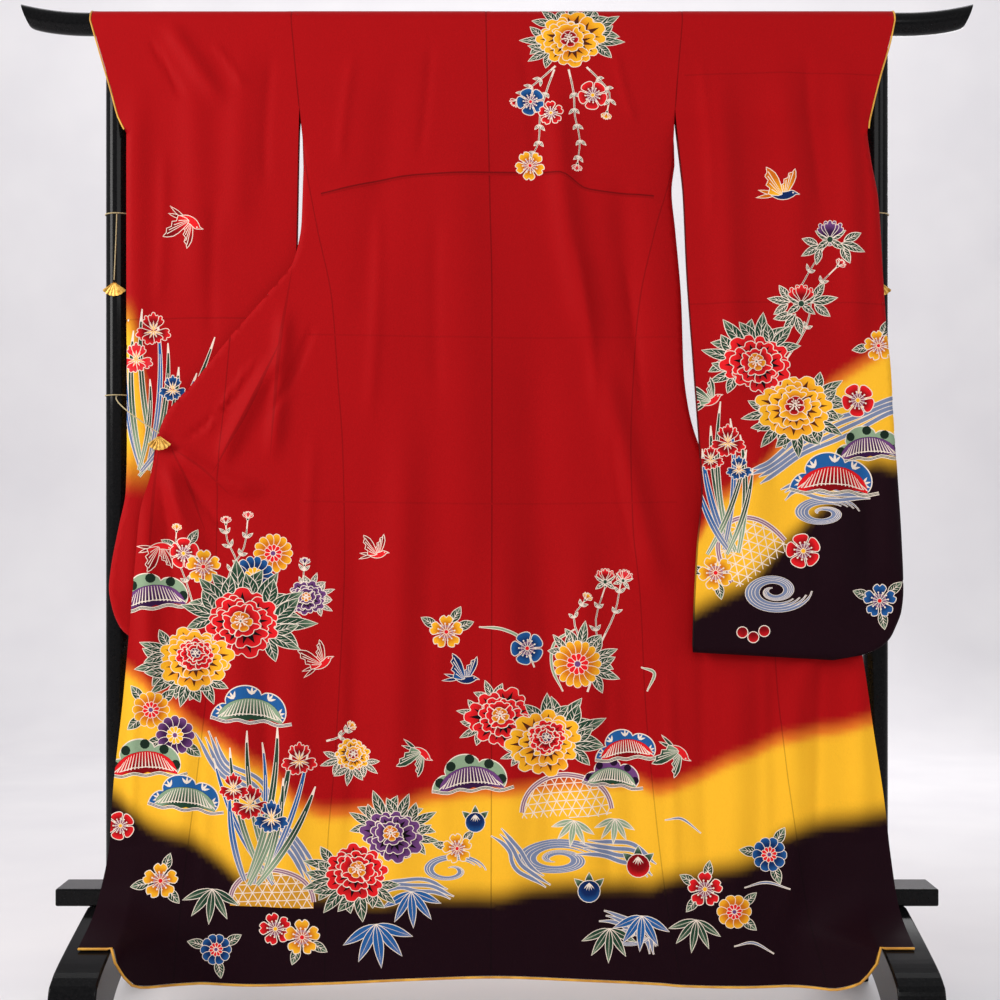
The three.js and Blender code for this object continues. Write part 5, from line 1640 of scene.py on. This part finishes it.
def sleeve_panel(side, layer_name):
    return lambda x, z: sleeve_depth(side, layer_name, x, z)


# each piece's flat width and length in metres, and its area
BODY_CUT = {"left": ((0.38, 3.2), 0.82), "right": ((0.38, 3.2), 0.82)}
OKUMI_CUT = {"left": ((0.16, 1.6), 0.17), "right": ((0.16, 1.6), 0.2)}
SLEEVE_CUT = {"left": ((0.34, 2.2), 0.7), "right": ((0.36, 2.2), 0.74)}

for side in ("left", "right"):
    for part, outlines, flat_sizes, carrier in (
            ("body", body_outlines, BODY_CUT, "bar"),
            ("okumi", okumi_outlines, OKUMI_CUT, f"body_{side}_silk")):
        near, far = outlines(side)
        cloth(f"{part}_{side}_silk",
              [layer(near, panel(side, "near"), False, DESIGN_AND_SHADOWS["skirt"], skirt_ground, lining_ground),
               layer(far, panel(side, "far"), True)],
              f"{part}_{side}", *flat_sizes[side], [carrier])
    near, far = sleeve_outlines(side)
    ground = SLEEVE_GROUND[side]
    cloth(f"sleeve_{side}_silk",
          [layer(near, sleeve_panel(side, "near"), False, DESIGN_AND_SHADOWS[f"{side}_sleeve"], ground,
                 sleeve_lining(side)),
           layer(far, sleeve_panel(side, "far"), True, (), ground, sleeve_lining(side))],
          f"sleeve_{side}", *SLEEVE_CUT[side], ["bar"])
# painted shadow along both edges of the collar
collar_seam_shadows = [shade(SEAMS[side][part], *SHADES["collar"]) for side in ("left", "right")
                for part in ("collar_low", "collar_high")]
cloth("collar_silk", [layer(collar_outline(), collar_depth, True, collar_seam_shadows)],
      "collar", (0.055, 2.0), 0.105, ["body_left_silk", "body_right_silk"])


# %% [markdown]
# The lining's gold edge is rolled out round the hem and the hand openings as a thin cord of
# cloth. A tube swept along the edge is all it needs.

# %% A tube along a path
TUBE_SIDES = 10
HEM_ROLL, HEM_CLEAR = 2.2, 2.6  # radius, and how far its middle lies outside the cloth's edge
CUFF_ROLL, CUFF_CLEAR = 1.4, 1.8
ROLL_LOW = 1497  # the lower end of the cuff's roll


def tube(path, radius, sides):
    """Points, triangles and normals of a closed-ended tube along points in millimetres."""
    path = np.array(path, float)
    along = unit(np.gradient(path, axis=0))
    up = np.cross(along[0], [0, 1, 0.1])
    up /= np.linalg.norm(up)
    places, normals = [], []
    angles = np.arange(sides) / sides * 2 * math.pi
    for point, ahead in zip(path, along):
        up = up - ahead * np.dot(up, ahead)
        up /= np.linalg.norm(up)
        across = np.cross(ahead, up)
        ways = np.cos(angles)[:, None] * up + np.sin(angles)[:, None] * across
        places.append(point + radius * ways)
        normals.append(ways)
    rings = len(path)
    faces = []
    for r in range(rings - 1):
        for k in range(sides):
            a, b = r * sides + k, r * sides + (k + 1) % sides
            faces += [[a, b, b + sides], [a, b + sides, a + sides]]
    ends = [path[0] - along[0] * radius * 0.5, path[-1] + along[-1] * radius * 0.5]
    last = rings * sides
    for k in range(sides):
        faces.append([last, (k + 1) % sides, k])
        faces.append([last + 1, last - sides + k, last - sides + (k + 1) % sides])
    return (np.vstack(places + [ends[0], ends[1]]), np.array(faces),
            np.vstack(normals + [-along[0], along[-1]]))


def thread(name, path, radius, material):
    places, faces, normals = tube(path, radius, TUBE_SIDES)
    return mesh_object(name, [(places, faces, normals, np.ones((len(faces) * 3, 3)), 0)], material)


def hem_roll(side):
    s = SEAMS[side]
    line = along_hem(s["edge"][0, 0], s["centre"][0, 0])
    line[-1, 0] += math.copysign(0.4, line[0, 0] - line[-1, 0])
    x, z = line.T
    y = back_depth(x, z + 1)
    points = np.column_stack([x, y, z])
    within = np.column_stack([x, back_depth(x, z + 8), z + 8])
    return outside_edge(points, within, HEM_CLEAR)


def outside_edge(points, within, clear):
    """A line just outside an edge, away from points a little way inside the cloth."""
    along = unit(np.gradient(points, axis=0))
    out = points - within
    return points + unit(out - along * np.sum(out * along, axis=1)[:, None]) * clear


def cuff_roll(side):
    cuff = up_table(SLEEVE_OUTER[side], ROLL_LOW, BAR_Z)
    bar_x = cuff[-1, 0]
    sign = math.copysign(1, bar_x)
    near = [(x, float(sleeve_depth(side, "near", x, z)), z) for x, z in cuff]
    over = [(bar_x, -(BAR_DEEP + 0.7) * math.cos(a), BAR_Z + (BAR_HIGH + 0.7) * math.sin(a))
            for a in np.linspace(0.12, math.pi - 0.12, 14)]
    far_z = [BAR_Z, 1668, FAR_CUFF_TOP, 1640, 1620, 1600, 1570, 1540, 1515, ROLL_LOW]
    far_x = [bar_x, bar_x - sign * 32] + [sign * FAR_CUFF_X] * 8
    far = [(x, float(sleeve_depth(side, "far", x, z)), z) for x, z in zip(far_x, far_z)]
    edge = np.array(near + over + far)
    within = edge - np.array([sign * 8, 0, 0])
    return outside_edge(edge, within, CUFF_CLEAR)


for side in ("left", "right"):
    for name, path, radius in ((f"hem_roll_{side}", hem_roll(side), HEM_ROLL),
                               (f"cuff_roll_{side}", cuff_roll(side), CUFF_ROLL)):
        roll = thread(f"{name}_silk", path, radius, gold_silk)
        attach(roll, "root")
        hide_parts(name)
        print(roll.name, len(roll.data.polygons), "triangles")

# %% [markdown]
# ## The stand
# The stand is turned and sawn wood under black lacquer. Its gloss shows on rounded edges, so
# every sawn edge is softened: a sharp one catches no highlight. Each part is a row of equal
# sections joined by faces, then bevelled.

# %% Swept and sawn wood
def wood(name, node, places, faces, bevel, smooth_all=True):
    """A lacquered part of the stand, with its edges rounded to `bevel` millimetres."""
    mesh = new_mesh(name, places, faces)
    made = new_object(name, mesh, lacquer)
    mesh.polygons.foreach_set("use_smooth", [smooth_all] * len(mesh.polygons))
    soft = made.modifiers.new("softened_edges", "BEVEL")
    soft.width, soft.segments, soft.limit_method = bevel / 1000, 4, "ANGLE"
    soft.angle_limit = math.radians(35)
    soft.harden_normals = True
    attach(made, "root")
    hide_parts(node)
    print(name, len(mesh.polygons), "faces")


def lofted(rings):
    """Faces over rings of equal length, with both ends closed."""
    count = len(rings[0])
    faces = [[r * count + k, r * count + (k + 1) % count,
              (r + 1) * count + (k + 1) % count, (r + 1) * count + k]
             for r in range(len(rings) - 1) for k in range(count)]
    last = (len(rings) - 1) * count
    return np.vstack(rings), faces + [list(range(count))[::-1], [last + k for k in range(count)]]


TIP_FROM, TIP_LONG = 690, 115  # where the bar starts to rise, and how long its tips are


def bar_ring(x):
    """The bar's round section, which rises and is cut off at a slant towards each tip."""
    tip = min(max((abs(x) - TIP_FROM) / TIP_LONG, 0), 1)
    angle = np.arange(48) / 48 * 2 * math.pi
    up = np.sin(angle)
    cut = 15 * (1 - up) / 2 * tip ** 6
    return np.column_stack([x - math.copysign(1, x) * cut, -21 * np.cos(angle),
                            BAR_Z + 14 * tip ** 2 + 19 * up])


stations = np.concatenate([np.linspace(0, TIP_FROM, 8), np.linspace(702, 804, 12), [804.8]])
rings = [bar_ring(x) for x in np.concatenate([-stations[:0:-1], stations])]
wood("lacquered_bar", "bar", *lofted(rings), 2.5)

for side, sign in (("left", -1), ("right", 1)):
    angle = np.arange(40) / 40 * 2 * math.pi
    rings = [np.column_stack([sign * POST_X + POST_R * np.cos(angle), POST_R * np.sin(angle),
                              np.full(40, z)]) for z in (229.4, 700, 1200, 1666.3)]
    wood(f"lacquered_post_{side}", f"post_{side}", *lofted(rings), 1.5)

rings = [np.array([[x, -40, 200], [x, 40, 200], [x, 40, 229], [x, -40, 229]])
         for x in (-738, 0, 738)]
wood("lacquered_rail", "rail", *lofted(rings), 3, False)

FOOT_X, FOOT_WIDE = 646, 37  # the foot's middle, and its half width
FOOT_TOP, FOOT_END = 199.4, 285
FOOT_SLOPE = [[45, FOOT_TOP], [100, 186], [185, 164], [250, 144], [268, 134]]


def foot_section():
    """The foot seen from its side: two long slopes, a rounded nose at each end, and an arch."""
    slope = line_through(FOOT_SLOPE, 12)
    nose = [[FOOT_END - 35 * (1 - math.sin(a)) * 0.5, 90 + 44 * math.cos(a)]
            for a in np.linspace(0.3, math.pi / 2, 8)]
    right = [[0, FOOT_TOP], *slope.tolist()[:-1], *nose, [FOOT_END, 45],
             [FOOT_END, 0]]
    arch = [[225 * math.cos(a), 120 * math.sin(a)] for a in np.linspace(0, math.pi, 41)]
    return right + arch + [[-y, z] for y, z in right[:0:-1]]


for side, sign in (("left", -1), ("right", 1)):
    section = foot_section()
    rings = [np.array([[sign * FOOT_X + x, y, z] for y, z in section])
             for x in (-FOOT_WIDE, FOOT_WIDE)]
    wood(f"lacquered_foot_{side}", f"foot_{side}", *lofted(rings), 3.5, False)

# %% [markdown]
# ## Floor, wall and light
# A pale floor runs up into a pale wall without a corner. Three soft lights stand before the
# silk, the strongest on its left. One lights the wall, one shines on the fronts from behind, and
# a weak even sky keeps the shadows open.

# %% The studio
def sweep():
    """Floor and wall as one curved sheet."""
    front, back, wall, height, side, radius = -7000, 3400, 4600, 8000, 16000, 1200
    line = [(front, 0), (-2000, 0), (back, 0)]
    line += [(back + radius * math.sin(a), radius - radius * math.cos(a))
             for a in np.linspace(0.1, math.pi / 2, 16)]
    line += [(wall, 3000), (wall, height)]
    places = [(x, y, z) for y, z in line for x in (-side, side)]
    faces = [[2 * i, 2 * i + 1, 2 * i + 3, 2 * i + 2] for i in range(len(line) - 1)]
    mesh = new_mesh("studio_sweep", places, faces)
    mesh.polygons.foreach_set("use_smooth", [True] * len(faces))
    return new_object("studio_sweep", mesh, finish("studio_paper", paper_look))


def paper_look(wire):
    tint = ramp(wire, speckle(wire, 3.0), (0.3, srgb(226, 223, 226)), (0.7, srgb(232, 229, 231)))
    return {"Base Color": tint, "Roughness": speckle(wire, 60.0) * 0.1 + 0.8}


sweep()

world = bpy.data.worlds.new("studio")
world.use_nodes = True
world.node_tree.nodes["Background"].inputs["Color"].default_value = (0.95, 0.97, 1.0, 1)
world.node_tree.nodes["Background"].inputs["Strength"].default_value = 0.5
bpy.context.scene.world = world


def soft_light(name, place, aim, size, power, colour=(1, 1, 1)):
    """A rectangle of light at its place in metres, turned to what it lights."""
    light = bpy.data.lights.new(name, "AREA")
    light.shape, (light.size, light.size_y) = "RECTANGLE", size
    light.energy, light.color = power, colour
    lamp = new_object(name, light)
    lamp.location = place
    lamp.rotation_euler = (Vector(aim) - Vector(place)).to_track_quat("-Z", "Y").to_euler()
    print(name, power, "W")


soft_light("window_left", (-3.3, -1.7, 2.2), (0.1, 0, 0.9), (1.4, 1.8), 92, (1.0, 0.98, 0.96))
soft_light("front", (0.4, -4.2, 2.6), (0, 0, 0.9), (2.6, 1.6), 34, (1.0, 0.99, 0.98))
soft_light("window_right", (3.2, -2.4, 2.0), (0, 0, 0.9), (1.6, 1.6), 16, (0.97, 0.98, 1.0))
soft_light("wall", (0.0, 2.2, 4.6), (0, 4.6, 1.2), (5.0, 1.2), 75)
soft_light("behind", (1.6, 3.6, 2.4), (0, 0, 0.9), (1.6, 1.6), 40)
